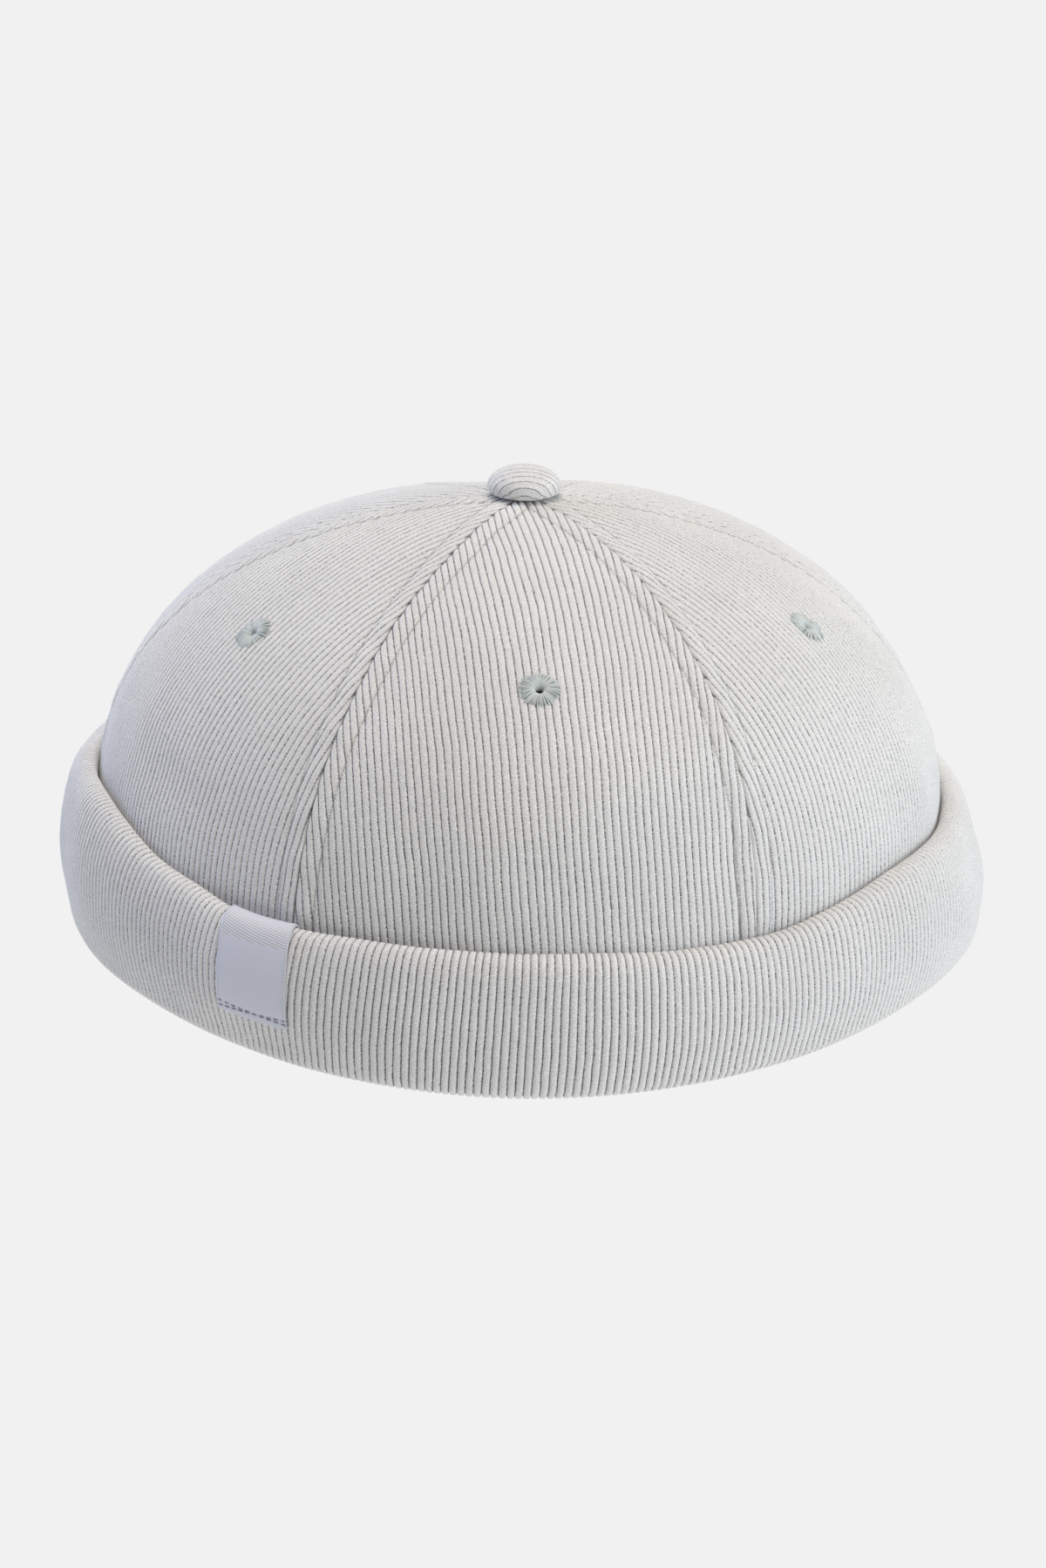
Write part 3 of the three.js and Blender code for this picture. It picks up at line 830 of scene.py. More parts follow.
def label_rows():
    face_top = cuff_line(label_azimuth, np.array(1.0))[1]
    fold = cuff_line(label_azimuth, np.array(2.0))[1]
    inner_length = fold - cuff_line(label_azimuth, np.array(3.0))[1]
    foot = (label_foot_height - cuff_foot_radius) / (face_top - cuff_foot_radius)
    return np.concatenate([
        np.linspace(foot, 1, 34)[:-1],
        np.linspace(1, 2, 25),
        np.linspace(2, 2 + label_tuck / inner_length, 5)[1:],
    ])


def lay_label():
    rows = label_rows()
    across = np.linspace(-0.5, 0.5, 33)
    share, along = np.meshgrid(across, rows)
    line = cuff_point(np.full(len(rows), label_azimuth), rows, label_gap)
    steps = np.linalg.norm(np.diff(line, axis=0), axis=1)
    length = np.concatenate([[0], np.cumsum(steps)])[:, None] + 0 * share
    azimuth = label_azimuth + label_span * (share + label_drift(length))
    curl = curl_height * np.clip((share - curl_start) / (0.5 - curl_start), 0, 1) ** 2
    curl = curl * np.clip((length - 1) / 3, 0, 1) * np.clip((19 - length) / 3, 0, 1)
    sewn = stitch_pull * np.exp(-(((length - stitch_pull_at) / stitch_pull_width) ** 2))
    under = label_gap + curl - sewn + 0.04 * waves(cuff_point(azimuth, along, 0), 7, 21)
    outer = cuff_point(azimuth, along, under + label_thickness)
    inner = cuff_point(azimuth, along, under)
    points = np.concatenate([outer.reshape(-1, 3), inner.reshape(-1, 3)])
    index = np.arange(share.size).reshape(share.shape)
    faces = grid_faces(index) + grid_faces(index + share.size)
    for first, second in zip(border(index), border(index + share.size)):
        faces += sew_edges(first, second, points)
    cloth_map = np.stack([share * label_width, length], axis=-1).reshape(-1, 2)
    made = make_mesh("woven_label", points, faces, {"cloth": np.concatenate([cloth_map, cloth_map])})
    return made, float(length[-1, 0])


label, label_length = lay_label()
print("woven_label:", label_width, "by", round(label_length, 1), "mm flat")

# %% [markdown]
# ## One function for nodes
#
# Materials and Geometry Nodes are both trees of nodes. One small function adds a node, sets its
# properties and feeds its inputs, which are values or the outputs of other nodes.

# %% Add a node
def add(tree, kind, feeds=(), **settings):
    """feeds has pairs: an input's name or number, and a value, an output, or a node for its first."""
    made = tree.nodes.new(kind)
    for key, value in settings.items():
        setattr(made, key, value)
    for key, value in feeds:
        if isinstance(value, bpy.types.Node):
            value = value.outputs[0]
        if isinstance(value, bpy.types.NodeSocket):
            tree.links.new(value, made.inputs[key])
        else:
            made.inputs[key].default_value = value
    return made


def linear(hex_colour):
    """An sRGB colour such as #c8ccce as the four linear numbers that Blender wants."""
    parts = [int(hex_colour[k : k + 2], 16) / 255 for k in (1, 3, 5)]
    return tuple(p / 12.92 if p <= 0.04045 else ((p + 0.055) / 1.055) ** 2.4 for p in parts) + (1,)


# %% An empty material
def new_material(name):
    made = bpy.data.materials.new(name)
    made.use_nodes = True
    made.node_tree.nodes.clear()
    return made, made.node_tree


# the names of a Map Range node's ends, and how many waves a Wave Texture has in a length of one
ends = ("From Min", "From Max", "To Min", "To Max")
waves_in_one = 3.2

# %% [markdown]
# ## Cotton corduroy
#
# Cut pile is matt and drinks light in its grooves, and the tips of its fibres catch a little
# light at a grazing angle, which is what the sheen is for. The map on each piece is counted in
# wales, so the groove's dark colour, the ground weave with painted shade, lands exactly in the
# modelled groove. The tufts that make up a wale measure about 0.75 by 0.35 mm: noise of that size
# makes the groove's edge ragged, and finer noise, for single fibres, breaks up both the colour and
# the surface. A second map is counted in millimetres from the seams. It paints shade as a dark,
# toothed line where two panels' wales are cut off, and as a thin broken line in the valley where
# the topstitching has sunk into the pile.

# %% Sizes of the pile
# tufts across and along a stretch of one wale's pitch, the size of a fibre, and the length over
# which the shading changes
tufts_in_a_wale = (2.2, 4.7, 1)
fibre_size = 0.22 * MM
shading_length = 25 * MM
# in wales from the groove: how far the tufts stray, and where the pile is full
tuft_stray = 0.32
pile_full = 0.13
# the painted shadow in the seam: the depth of its teeth, its two edges from the seam, and how dark it is
seam_shadow_teeth = 1.5
seam_shadow_edges = (0.75, 0.25)
seam_shadow_darkness = 0.42
# the painted shade in the topstitched row's valley: its two edges from the thread, where the tufts cover it,
# and how dark
row_shade_edges = (0.34, 0.1)
row_breaks = (0.44, 0.58)
row_shade_darkness = 0.36


# %% Corduroy material
def corduroy_material():
    made, tree = new_material("cotton_corduroy")
    place = add(tree, "ShaderNodeTexCoord").outputs["Object"]
    cloth = add(tree, "ShaderNodeUVMap", uv_map="cloth")
    wales = add(tree, "ShaderNodeSeparateXYZ", [(0, cloth)])
    seams = add(tree, "ShaderNodeUVMap", uv_map="seams")
    near_seam = add(tree, "ShaderNodeSeparateXYZ", [(0, seams)])

    # three noises: tufts, single fibres and slow shading
    laid = add(tree, "ShaderNodeMapping", [("Vector", cloth), ("Scale", tufts_in_a_wale)])
    tufts = add(tree, "ShaderNodeTexNoise", [("Vector", laid), ("Scale", 1), ("Detail", 1)])
    fibres = add(tree, "ShaderNodeTexNoise", [("Vector", place), ("Scale", 1 / fibre_size), ("Detail", 1)])
    slow = add(tree, "ShaderNodeTexNoise", [("Vector", place), ("Scale", 1 / shading_length), ("Detail", 2)])

    # from the groove's colour, the ground weave darkened as painted shade, to the pile's
    from_groove = add(tree, "ShaderNodeMath", [(0, wales), (1, 0.5)], operation="PINGPONG")
    stray = add(tree, "ShaderNodeMath", [(0, tufts), (1, tuft_stray), (2, -tuft_stray / 2)],
                operation="MULTIPLY_ADD")
    depth = add(tree, "ShaderNodeMath", [(0, from_groove), (1, stray)], operation="ADD")
    pile = add(tree, "ShaderNodeMapRange", [("Value", depth), *zip(ends, (0, pile_full, 0, 1))],
               interpolation_type="SMOOTHSTEP")
    base = add(tree, "ShaderNodeMix", [(0, pile), (6, linear("#8a8b8f")), (7, linear("#e3e2e0"))],
               data_type="RGBA").outputs[2]

    # painted shade: the seam's toothed shadow line, and the broken shaded line of each topstitched row
    toothed = add(tree, "ShaderNodeMath", [(0, from_groove), (1, -seam_shadow_teeth), (2, near_seam)],
                  operation="MULTIPLY_ADD")
    start, end = (seam_reach - edge for edge in seam_shadow_edges)
    seam_shadow = add(tree, "ShaderNodeMapRange", [("Value", toothed), *zip(ends, (start, end, 0, seam_shadow_darkness))],
                interpolation_type="SMOOTHSTEP")
    past_row = add(tree, "ShaderNodeMath", [(0, near_seam), (1, seam_reach - stitch_offset)],
                   operation="SUBTRACT")
    from_row = add(tree, "ShaderNodeMath", [(0, past_row)], operation="ABSOLUTE")
    row_valley_shade = add(tree, "ShaderNodeMapRange", [("Value", from_row), *zip(ends, (*row_shade_edges, 0, row_shade_darkness))],
              interpolation_type="SMOOTHSTEP")
    uncovered = add(tree, "ShaderNodeMapRange", [("Value", tufts), *zip(ends, (*row_breaks, 0.1, 1))],
                    interpolation_type="SMOOTHSTEP")
    painted_seam_shade = add(tree, "ShaderNodeMath", [(0, row_valley_shade), (1, uncovered), (2, seam_shadow)], operation="MULTIPLY_ADD")

    # fibres catch the light or shade each other, and a few stray ones lie on top
    lit = add(tree, "ShaderNodeMapRange", [("Value", fibres), *zip(ends, (0.3, 0.75, 0.84, 1.14))],
              interpolation_type="SMOOTHSTEP")
    shaded = add(tree, "ShaderNodeMapRange", [("Value", slow), *zip(ends, (0.3, 0.7, 0.97, 1.02))],
                 interpolation_type="SMOOTHSTEP")
    on_top = add(tree, "ShaderNodeMapRange", [("Value", fibres), *zip(ends, (0.66, 0.72, 0, 0.12))],
                 interpolation_type="SMOOTHSTEP")
    nap = add(tree, "ShaderNodeMath", [(0, lit), (1, shaded), (2, on_top)], operation="MULTIPLY_ADD")
    # the share of the tone that the painted shade of seams and rows leaves
    left = add(tree, "ShaderNodeMath", [(0, 1), (1, painted_seam_shade)], operation="SUBTRACT")
    tone = add(tree, "ShaderNodeMath", [(0, nap), (1, left)], operation="MULTIPLY")
    colour = add(tree, "ShaderNodeVectorMath", [(0, base), ("Scale", tone)], operation="SCALE")

    rough = add(tree, "ShaderNodeMath", [(0, fibres), (1, tufts)], operation="ADD")
    height = add(tree, "ShaderNodeMath", [(0, painted_seam_shade), (1, -3), (2, rough)], operation="MULTIPLY_ADD")
    bump = add(tree, "ShaderNodeBump", [("Height", height), ("Strength", 0.6), ("Distance", 0.12 * MM)])
    shader = add(tree, "ShaderNodeBsdfPrincipled", [
        ("Base Color", colour), ("Normal", bump), ("Roughness", 0.95),
        ("Specular IOR Level", 0.1), ("Sheen Weight", 0.08), ("Sheen Roughness", 0.6),
    ])
    add(tree, "ShaderNodeOutputMaterial", [("Surface", shader)])
    return made


corduroy = corduroy_material()
print("material:", corduroy.name, len(corduroy.node_tree.nodes), "nodes")

# %% [markdown]
# ## The cloth's back
#
# Inside, the cap shows the ground weave of the corduroy: a plain cotton weave with no pile. Two
# crossing waves make threads 0.4 mm apart, coarser than real ones so that they show at all.

# %% Ground weave material
ground_thread_pitch = 0.375


def ground_weave_material():
    made, tree = new_material("cotton_ground_weave")
    cloth = add(tree, "ShaderNodeUVMap", uv_map="cloth")
    scale = wale_pitch / ground_thread_pitch / waves_in_one
    threads = [
        add(tree, "ShaderNodeTexWave", [("Vector", cloth), ("Scale", scale), ("Distortion", 0.6)],
            bands_direction=direction).outputs["Fac"]
        for direction in ("X", "Y")
    ]
    weave = add(tree, "ShaderNodeMath", [(0, threads[0]), (1, threads[1])], operation="MULTIPLY")
    colour = add(tree, "ShaderNodeMix", [(0, weave), (6, linear("#b4b7b8")), (7, linear("#cfd1d0"))],
                 data_type="RGBA").outputs[2]
    bump = add(tree, "ShaderNodeBump", [("Height", weave), ("Strength", 0.4), ("Distance", 0.15 * MM)])
    shader = add(tree, "ShaderNodeBsdfPrincipled", [
        ("Base Color", colour), ("Normal", bump), ("Roughness", 0.9), ("Specular IOR Level", 0.2),
    ])
    add(tree, "ShaderNodeOutputMaterial", [("Surface", shader)])
    return made


ground_weave = ground_weave_material()

# %% [markdown]
# ## Sewing thread
#
# Spun cotton thread is two plies twisted together. The eyelets' thread is a pale grey green, over
# a bed of the same thread coloured darker as painted shade between and under the threads. The
# topstitching is a little darker than the cloth, which is painted shade from the valley it sinks
# into, and the label's stitches are a bluish grey. Fine noise on the piece's own coordinates
# stands for the loose fibres.

# %% Thread material
def thread_material(name, light, dark):
    made, tree = new_material(name)
    place = add(tree, "ShaderNodeTexCoord").outputs["Object"]
    fibres = add(tree, "ShaderNodeTexNoise", [("Vector", place), ("Scale", 1 / (0.3 * MM)), ("Detail", 2)])
    colour = add(tree, "ShaderNodeMix", [(0, fibres), (6, linear(dark)), (7, linear(light))],
                 data_type="RGBA").outputs[2]
    bump = add(tree, "ShaderNodeBump", [("Height", fibres), ("Strength", 0.4), ("Distance", 0.06 * MM)])
    shader = add(tree, "ShaderNodeBsdfPrincipled", [
        ("Base Color", colour), ("Normal", bump), ("Roughness", 0.7),
        ("Specular IOR Level", 0.35), ("Sheen Weight", 0.2), ("Sheen Roughness", 0.5),
    ])
    add(tree, "ShaderNodeOutputMaterial", [("Surface", shader)])
    return made


eyelet_thread = thread_material("eyelet_cotton_thread", "#e2e7e5", "#bcc4c2")
# the bed's darker colour is painted shade between and under the eyelet's threads
eyelet_bed_painted_shade_thread = thread_material("eyelet_bed_thread_painted_shade", "#9aa2a1", "#7d8584")
# the topstitch thread's darker colour is painted shade from the valley the row sinks into
topstitch_thread_painted_shade = thread_material("topstitch_cotton_thread", "#c4c6c6", "#96999b")
label_thread = thread_material("label_cotton_thread", "#a9abb3", "#83858d")

# %% [markdown]
# ## Label satin
#
# The tape's face is a satin weave of fine polyester, smooth and faintly shiny. Below the fold its
# weave is a twill, with light threads on the slant, which grows fainter over the crest; there the
# colour is also lighter, a painted highlight on the fold. The map on the label is in millimetres,
# so the twill's lines are laid 0.5 mm apart, and each change of weave is placed by the distance
# from the foot.

# %% Satin material
# where one weave turns into the next, in millimetres from the foot, and from the middle
twill_start = (16.2, 16.4)
# from here the twill fades into the crest, whose lighter colour is partly a painted highlight
twill_end = (20.6, 21.2)
selvedge_start = (7.4, 7.5)
twill_pitch = 0.5
weft_pitch = 0.4


def satin_material():
    made, tree = new_material("polyester_satin_tape")
    cloth = add(tree, "ShaderNodeUVMap", uv_map="cloth")
    parts = add(tree, "ShaderNodeSeparateXYZ", [(0, cloth)])
    slant = add(tree, "ShaderNodeMapping", [("Vector", cloth), ("Rotation", (0, 0, math.radians(-80)))])
    twill = add(tree, "ShaderNodeTexWave", [
        ("Vector", slant), ("Scale", 1 / twill_pitch / waves_in_one), ("Distortion", 0.3),
    ]).outputs["Fac"]
    weft = add(tree, "ShaderNodeTexWave", [("Vector", cloth), ("Scale", 1 / weft_pitch / waves_in_one)],
               bands_direction="Y").outputs["Fac"]
    from_middle = add(tree, "ShaderNodeMath", [(0, parts)], operation="ABSOLUTE")
    above_satin = add(tree, "ShaderNodeMapRange", [("Value", parts.outputs["Y"]), *zip(ends, twill_start)])
    at_crest_highlight = add(tree, "ShaderNodeMapRange", [("Value", parts.outputs["Y"]), *zip(ends, twill_end)])
    at_edge = add(tree, "ShaderNodeMapRange", [("Value", from_middle), *zip(ends, selvedge_start)])
    weaves = {}
    for weave, threads, low, high in [
        ("satin", weft, "#d4d5e0", "#dadbe5"),
        ("twill", twill, "#b2b3bf", "#eae9ea"),
        # the crest's colours: fainter twill, lightened as a painted highlight on the fold
        ("crest", twill, "#cdced8", "#dadbe2"),
        ("selvedge", weft, "#b4b6c4", "#e2e3e8"),
    ]:
        weaves[weave] = add(tree, "ShaderNodeMix", [(0, threads), (6, linear(low)), (7, linear(high))],
                            data_type="RGBA").outputs[2]
    colour = weaves["satin"]
    for share, weave in [(above_satin, "twill"), (at_crest_highlight, "crest"), (at_edge, "selvedge")]:
        colour = add(tree, "ShaderNodeMix", [(0, share), (6, colour), (7, weaves[weave])],
                     data_type="RGBA").outputs[2]
    relief = add(tree, "ShaderNodeMix", [(0, above_satin), (2, weft), (3, twill)])
    bump = add(tree, "ShaderNodeBump", [("Height", relief), ("Strength", 0.25), ("Distance", 0.1 * MM)])
    shader = add(tree, "ShaderNodeBsdfPrincipled", [
        ("Base Color", colour), ("Normal", bump), ("Roughness", 0.5),
        ("Specular IOR Level", 0.4), ("Sheen Weight", 0.1),
    ])
    add(tree, "ShaderNodeOutputMaterial", [("Surface", shader)])
    return made


satin = satin_material()

# %% [markdown]
# ## Rivet steel
#
# The button's hidden rivet is pressed steel with a brushed plate. It stays as the frame has it,
# and only gets its finish: short scratches from noise stretched along one direction.

# %% Steel material
def steel_material():
    made, tree = new_material("brushed_steel")
    place = add(tree, "ShaderNodeTexCoord").outputs["Object"]
    drawn = add(tree, "ShaderNodeMapping", [("Vector", place), ("Scale", (1, 12, 1))])
    scratches = add(tree, "ShaderNodeTexNoise", [("Vector", drawn), ("Scale", 1 / (1.5 * MM)), ("Detail", 3)])
    rough = add(tree, "ShaderNodeMapRange", [("Value", scratches), ("To Min", 0.28), ("To Max", 0.48)])
    bump = add(tree, "ShaderNodeBump", [("Height", scratches), ("Strength", 0.2), ("Distance", 0.05 * MM)])
    shader = add(tree, "ShaderNodeBsdfPrincipled", [
        ("Base Color", linear("#b6b8ba")), ("Metallic", 1), ("Roughness", rough), ("Normal", bump),
    ])
    add(tree, "ShaderNodeOutputMaterial", [("Surface", shader)])
    return made


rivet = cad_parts["button_rivet"]
rivet.data.materials.clear()
rivet.data.materials.append(steel_material())

# %% Dress the cloth pieces
for piece in [*panel_objects.values(), cuff]:
    piece.data.materials.clear()
    piece.data.materials.append(corduroy)
    piece.data.materials.append(ground_weave)
button.data.materials.append(corduroy)
label.data.materials.append(satin)
print("cloth pieces dressed")

# %% [markdown]
# ## Overcast eyelets
#
# An overcast eyelet is many turns of thread, each from the hole out over the cloth and down into
# it. They all follow one rule, so Geometry Nodes make them: one bow of thread, put on a ring of
# points and turned with each, with its length a little at random, over a low bed of the threads
# beneath, whose darker colour is painted shade.

# %% Sizes of an eyelet
eyelet_radius = 4
eyelet_hole_radius = 0.85
eyelet_threads = 84

# %% Helpers for Geometry Nodes
def new_tree(name, sizes):
    """A geometry tree with named inputs: a size has a float input and a count an int one."""
    tree = bpy.data.node_groups.new(name, "GeometryNodeTree")
    tree.interface.new_socket("Geometry", in_out="INPUT", socket_type="NodeSocketGeometry")
    tree.interface.new_socket("Geometry", in_out="OUTPUT", socket_type="NodeSocketGeometry")
    for size_name, value in sizes.items():
        kind = "NodeSocketInt" if isinstance(value, int) else "NodeSocketFloat"
        socket = tree.interface.new_socket(size_name, in_out="INPUT", socket_type=kind)
        socket.default_value = value
    return tree, tree.nodes.new("NodeGroupInput").outputs


def bow_of_thread(tree, corners, radius, steps, sides):
    """A round thread along one bow. A corner has a name, and a socket and factor for x and for z."""
    feeds = [("Resolution", steps)]
    for corner, out, out_factor, up, up_factor in corners:
        x = add(tree, "ShaderNodeMath", [(0, out), (1, out_factor)], operation="MULTIPLY")
        z = add(tree, "ShaderNodeMath", [(0, up), (1, up_factor)], operation="MULTIPLY")
        feeds.append((corner, add(tree, "ShaderNodeCombineXYZ", [("X", x), ("Z", z)])))
    line = add(tree, "GeometryNodeCurvePrimitiveBezierSegment", feeds)
    section = add(tree, "GeometryNodeCurvePrimitiveCircle", [("Resolution", sides), ("Radius", radius)])
    return add(tree, "GeometryNodeCurveToMesh", [
        ("Curve", line), ("Profile Curve", section), ("Fill Caps", True),
    ])


def finish_tree(tree, geometry):
    real = add(tree, "GeometryNodeRealizeInstances", [(0, geometry)])
    smooth = add(tree, "GeometryNodeSetShadeSmooth", [(0, real)])
    add(tree, "NodeGroupOutput", [(0, smooth)])


def grow(name, tree, start_mesh, sizes, place=None):
    """Runs a tree once on a mesh and keeps the result as a plain mesh object."""
    host = bpy.data.objects.new(name, start_mesh)
    bpy.context.scene.collection.objects.link(host)
    nodes = host.modifiers.new("grow", "NODES")
    nodes.node_group = tree
    for item in tree.interface.items_tree:
        if item.in_out == "INPUT" and item.name in sizes:
            nodes[item.identifier] = sizes[item.name]
    ready = host.evaluated_get(bpy.context.evaluated_depsgraph_get())
    grown = bpy.data.meshes.new_from_object(ready)
    host.modifiers.remove(nodes)
    if place is not None:
        grown.transform(place)
    host.data = grown
    return host


# %% The eyelet's tree
def eyelet_tree():
    tree, sizes = new_tree("overcast_eyelet", {
        "Threads": eyelet_threads,
        "Hole radius": eyelet_hole_radius * MM,
        "Outer radius": eyelet_radius * MM,
        "Thread radius": 0.11 * MM,
        "Rise": 0.4 * MM,
        "Seed": 1,
    })
    hole, outer, rise = sizes["Hole radius"], sizes["Outer radius"], sizes["Rise"]

    # one thread, from deep in the hole to just under the cloth
    thread = bow_of_thread(tree, [
        ("Start", hole, 1, rise, -3.2),
        ("Start Handle", hole, 0.45, rise, 2.6),
        ("End Handle", outer, 0.85, rise, 1.2),
        ("End", outer, 1, rise, -0.35),
    ], sizes["Thread radius"], steps=9, sides=5)

    # the ring of threads, each a little off its place and a little longer or shorter
    ring = add(tree, "GeometryNodePoints", [("Count", sizes["Threads"])])
    number = add(tree, "GeometryNodeInputIndex")
    turn = add(tree, "ShaderNodeMath", [(0, number), (1, sizes["Threads"])], operation="DIVIDE")
    stray = add(tree, "FunctionNodeRandomValue", [(2, -0.05), (3, 0.05), ("Seed", sizes["Seed"])])
    turned = add(tree, "ShaderNodeMath", [(0, turn), (1, 2 * math.pi), (2, stray.outputs[1])],
                 operation="MULTIPLY_ADD")
    rotation = add(tree, "ShaderNodeCombineXYZ", [("Z", turned)])
    reach = add(tree, "FunctionNodeRandomValue", [(2, 0.93), (3, 1.1), ("Seed", sizes["Seed"])])
    scale = add(tree, "ShaderNodeCombineXYZ", [("X", reach.outputs[1]), ("Y", 1), ("Z", 1)])
    threads = add(tree, "GeometryNodeInstanceOnPoints", [
        ("Points", ring), ("Instance", thread), ("Rotation", rotation), ("Scale", scale),
    ])

    # the bed beneath: a ring half way out, with a wide and low round section, coloured dark as painted shade
    across = add(tree, "ShaderNodeMath", [(0, hole), (1, outer)], operation="ADD")
    middle = add(tree, "ShaderNodeMath", [(0, across), (1, 0.5)], operation="MULTIPLY")
    bed_line = add(tree, "GeometryNodeCurvePrimitiveCircle", [("Resolution", 40), ("Radius", middle)])
    bed_round = add(tree, "GeometryNodeCurvePrimitiveCircle", [("Resolution", 12), ("Radius", rise)])
    bed_section = add(tree, "GeometryNodeTransform", [("Geometry", bed_round), ("Scale", (3.2, 0.45, 1))])
    bed = add(tree, "GeometryNodeCurveToMesh", [("Curve", bed_line), ("Profile Curve", bed_section)])

    painted_shade_bed = add(tree, "GeometryNodeSetMaterial", [(0, bed), ("Material", eyelet_bed_painted_shade_thread)])
    light_threads = add(tree, "GeometryNodeSetMaterial", [(0, threads), ("Material", eyelet_thread)])
    joined = add(tree, "GeometryNodeJoinGeometry", [(0, light_threads)])
    tree.links.new(painted_shade_bed.outputs[0], joined.inputs[0])
    finish_tree(tree, joined)
    return tree


# %% Overcast the six eyelets
overcast = eyelet_tree()
eyelets = {}
for number, name in enumerate(panels):
    start = bpy.data.meshes.new(f"overcast_eyelet_{name}")
    made = grow(f"overcast_eyelet_{name}", overcast, start, {"Seed": 11 + number}, seats[name])
    eyelets[name] = made
    print(made.name, len(made.data.polygons), "faces")

# %% [markdown]
# ## Topstitching
#
# Each seam has a row of stitches on both sides, sunk into it and coloured a little darker than the cloth,
# which is painted shade of the valley they lie in.
# The rows are lines on the surface of the crown, 4.2 mm from the seam, with the way out of the
# cloth kept at each of their points. A tree resamples them at the stitch length and lays one
# short, slightly arched piece of thread along each step.

# %% The stitch tree
def stitch_tree(thread):
    tree, sizes = new_tree(f"row_of_{thread.name}", {
        "Stitch length": stitch_length * MM,
        "Thread radius": 0.13 * MM,
        "Arch": 0.2 * MM,
        "Cover": 0.88,
        "Seed": 5,
    })
    rows = add(tree, "GeometryNodeMeshToCurve", [(0, tree.nodes["Group Input"])])
    steps = add(tree, "GeometryNodeResampleCurve", [("Curve", rows), ("Length", sizes["Stitch length"])],
                mode="LENGTH")
    cover = add(tree, "ShaderNodeMath", [(0, sizes["Stitch length"]), (1, sizes["Cover"])],
                operation="MULTIPLY")
    stitch = bow_of_thread(tree, [
        ("Start", cover, -0.5, sizes["Arch"], -1),
        ("Start Handle", cover, -0.5, sizes["Arch"], 1),
        ("End Handle", cover, 0.5, sizes["Arch"], 1),
        ("End", cover, 0.5, sizes["Arch"], -1),
    ], sizes["Thread radius"], steps=6, sides=6)

    # each stitch lies along its row and arches away from the cloth
    tangent = add(tree, "GeometryNodeInputTangent")
    normal = add(tree, "GeometryNodeInputNamedAttribute", [("Name", "way_out")], data_type="FLOAT_VECTOR")
    along = add(tree, "FunctionNodeAlignRotationToVector", [("Vector", tangent)], axis="X")
    turned = add(tree, "FunctionNodeAlignRotationToVector", [("Rotation", along), ("Vector", normal)],
                 axis="Z", pivot_axis="X")
    stray = add(tree, "FunctionNodeRandomValue", [(2, 0.94), (3, 1.05), ("Seed", sizes["Seed"])])
    stitches = add(tree, "GeometryNodeInstanceOnPoints", [
        ("Points", steps), ("Instance", stitch), ("Rotation", turned), ("Scale", stray.outputs[1]),
    ])
    dressed = add(tree, "GeometryNodeSetMaterial", [(0, stitches), ("Material", thread)])
    finish_tree(tree, dressed)
    return tree


def line_mesh(name, lines, outs):
    """Rows of points as one mesh of edges, with the way out of the cloth at each point."""
    count = len(lines[0])
    edges = [(first + k, first + k + 1) for first in range(0, len(lines) * count, count)
             for k in range(count - 1)]
    mesh = bpy.data.meshes.new(name)
    mesh.from_pydata(((np.concatenate(lines) + [axis.x, axis.y, 0]) * MM).tolist(), edges, [])
    way_out = mesh.attributes.new("way_out", "FLOAT_VECTOR", "POINT")
    way_out.data.foreach_set("vector", np.concatenate(outs).ravel())
    return mesh


# %% Rows of topstitching on the crown
# in millimetres: where a row starts, how far from the tip it ends, the least distance between a
# seam's two rows and how deep the thread lies
row_start = 14
row_end = 3.5
least_row_offset = 0.4
thread_depth = 0.42


def stitch_rows():
    along = np.arange(row_start, tip_along - row_end, 1)
    share = along / meridian_length
    row_radius = crown_mean_radius * meridian(share)[0]
    half = row_radius * panel_half_angle - seam_gap / 2
    lines, outs = [], []
    for middle, _, _, _ in panels.values():
        for side in (-1, 1):
            aside = side * np.maximum(half - stitch_offset, least_row_offset)
            azimuth = math.radians(middle) + aside / row_radius
            normal = outward(crown_base, azimuth, share)
            plain = crown_base(azimuth, share)
            height = crown_swell(plain) - dent_at(azimuth, share) - thread_depth
            lines.append(plain + normal * height[:, None])
            outs.append(normal)
    return line_mesh("topstitching", lines, outs)


topstitching = grow("topstitching", stitch_tree(topstitch_thread_painted_shade), stitch_rows(), {})
print("topstitching:", len(topstitching.data.polygons), "faces")

# %% Stitches at the label's foot
# the distance of each row from the label's foot, at its left and right end: the two cross
foot_lines = [(1.1, 1.9), (2.3, 1.0)]
label_sizes = {
    "Stitch length": 1.65 * MM,
    "Thread radius": 0.11 * MM,
    "Arch": 0.12 * MM,
    "Cover": 0.66,
}


def label_stitch_rows():
    share = np.linspace(-0.47, 0.47, 24)
    foot = label_rows()[0]
    face = cuff_point(np.full(2, label_azimuth), np.array([foot, 1]), label_gap)
    face_length = np.linalg.norm(face[1] - face[0])
    lines, outs = [], []
    for left, right in foot_lines:
        distance = np.interp(share, [-0.5, 0.5], [left, right])
        along = foot + distance / face_length * (1 - foot)
        azimuth = label_azimuth + label_span * (share + label_drift(distance))
        line = cuff_point(azimuth, along, label_gap + label_thickness)
        ahead = cuff_point(azimuth, along, label_gap + label_thickness + 1)
        lines.append(line)
        outs.append(ahead - line)
    return line_mesh("label_stitching", lines, outs)


label_stitching = grow("label_stitching", stitch_tree(label_thread), label_stitch_rows(), label_sizes)
print("label_stitching:", len(label_stitching.data.polygons), "faces")

# %% [markdown]
# ## Tie every piece to the frame
#
# Each new piece stands for the frame's plain one, which is hidden where there is one, and rides
# on the cap's one body.

# %% Tie the pieces
def tie(piece, slot, *nodes):
    if nodes:
        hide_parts(*nodes)
    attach(piece, "root")


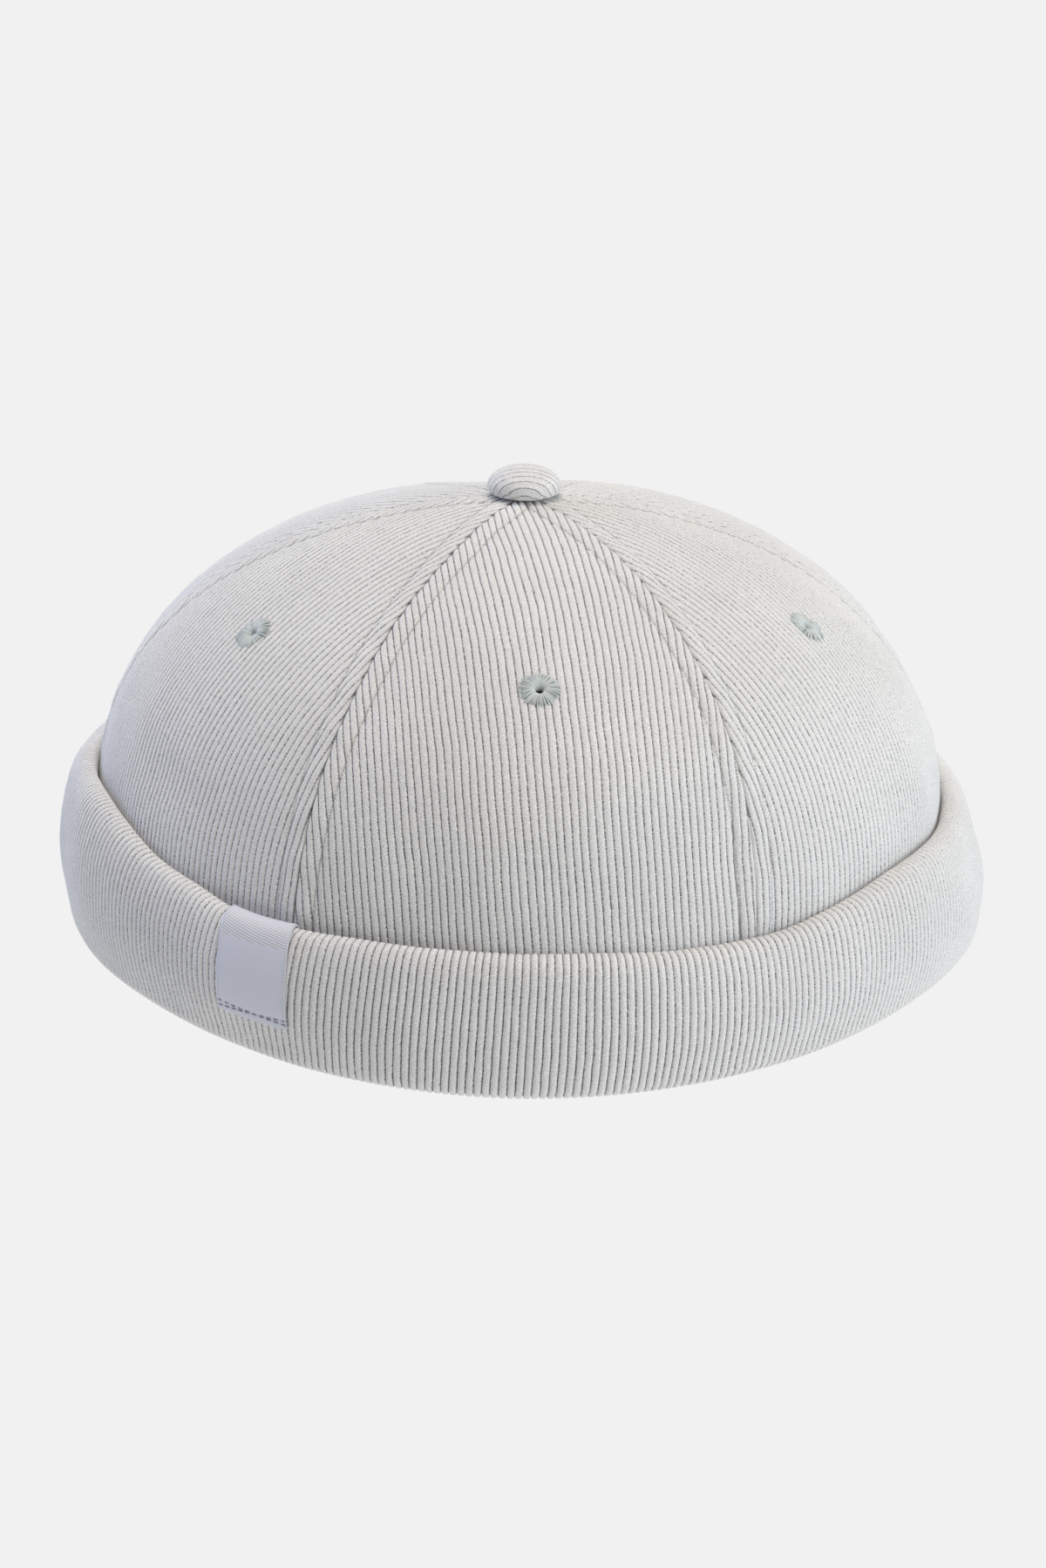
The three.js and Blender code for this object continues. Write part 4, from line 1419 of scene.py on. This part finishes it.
for name in panels:
    tie(panel_objects[name], "corduroy", f"panel_{name}")
    tie(eyelets[name], "eyelet_thread", f"eyelet_{name}")
tie(cuff, "corduroy", "cuff")
tie(button, "corduroy", "button")
tie(label, "label_satin", "label")
tie(topstitching, "corduroy")
tie(label_stitching, "label_satin")

# %% [markdown]
# ## Floor, light and camera
#
# The cap was photographed on a pale ground under soft light: a broad softbox low at the front
# right, a small one low at the right, one overhead, a bluish one at the left and one behind it.
# The floor glows by itself, so that it stays as pale as a lit sweep of paper, takes no shadow and
# lights the cap from below. Under the cap, where real paper gets no light, it does not glow, and
# the eyelets' holes are dark.

# %% Floor
bpy.ops.mesh.primitive_plane_add(size=14)
floor = bpy.context.object
floor.name = "floor"
paper, paper_tree = new_material("pale_paper")
place = add(paper_tree, "ShaderNodeTexCoord").outputs["Object"]
from_cap = add(paper_tree, "ShaderNodeVectorMath", [(0, place)], operation="LENGTH").outputs["Value"]
outside = add(paper_tree, "ShaderNodeMath", [(0, from_cap), (1, crown_half_width * MM)],
              operation="GREATER_THAN")
glow = add(paper_tree, "ShaderNodeEmission", [("Color", linear("#f1f1f1")), ("Strength", outside)])
add(paper_tree, "ShaderNodeOutputMaterial", [("Surface", glow)])
floor.data.materials.append(paper)

# %% Light
world = bpy.data.worlds.new("studio")
bpy.context.scene.world = world
world.use_nodes = True
world.node_tree.nodes["Background"].inputs["Color"].default_value = linear("#eef1f6")
world.node_tree.nodes["Background"].inputs["Strength"].default_value = 0.02


def softbox(name, place, size, power, colour):
    """A square area light that faces the cap."""
    light = bpy.data.lights.new(name, "AREA")
    light.size = size
    light.energy = power
    light.color = linear(colour)[:3]
    made = bpy.data.objects.new(name, light)
    bpy.context.scene.collection.objects.link(made)
    made.location = place
    towards_cap = Vector((0, 0, 0.05)) - Vector(place)
    made.rotation_euler = towards_cap.to_track_quat("-Z", "Y").to_euler()
    made.visible_camera = False


softbox("overhead", (0, 0, 1.3), 0.9, 11.2, "#fff7ef")
softbox("front_right", (0.96, -0.81, 0.34), 1.8, 16.6, "#f5f9ff")
softbox("right", (1.28, 0, 0.22), 0.4, 3.6, "#e6f2ff")
softbox("left", (-1.15, 0.42, 0.4), 0.7, 6, "#b0c8ff")
softbox("back_left", (-0.75, 0.75, 0.75), 0.9, 6, "#fdffff")
bpy.context.scene.view_settings.view_transform = "Standard"
bpy.context.scene.view_settings.look = "None"

# %% Camera
camera_azimuth = math.radians(-1.2)
camera_elevation = math.radians(20.8)
camera_distance = 0.786
camera_roll = 0.0196
right = Vector((math.cos(camera_azimuth), math.sin(camera_azimuth), 0))
back = Vector((
    math.sin(camera_azimuth) * math.cos(camera_elevation),
    -math.cos(camera_azimuth) * math.cos(camera_elevation),
    math.sin(camera_elevation),
))
target = Vector(((axis.x + 0.98) * MM, (axis.y - 0.2) * MM, 0.027))
lens = bpy.data.cameras.new("camera")
lens.lens = 81.73
lens.sensor_width = 36
lens.clip_start = 0.05
camera = bpy.data.objects.new("camera", lens)
bpy.context.scene.collection.objects.link(camera)
camera.location = target + back * camera_distance
upright = back.cross(right)
facing = Matrix((right, upright, back)).transposed()
camera.rotation_euler = (facing @ Matrix.Rotation(camera_roll, 3, "Z")).to_euler()
bpy.context.scene.camera = camera
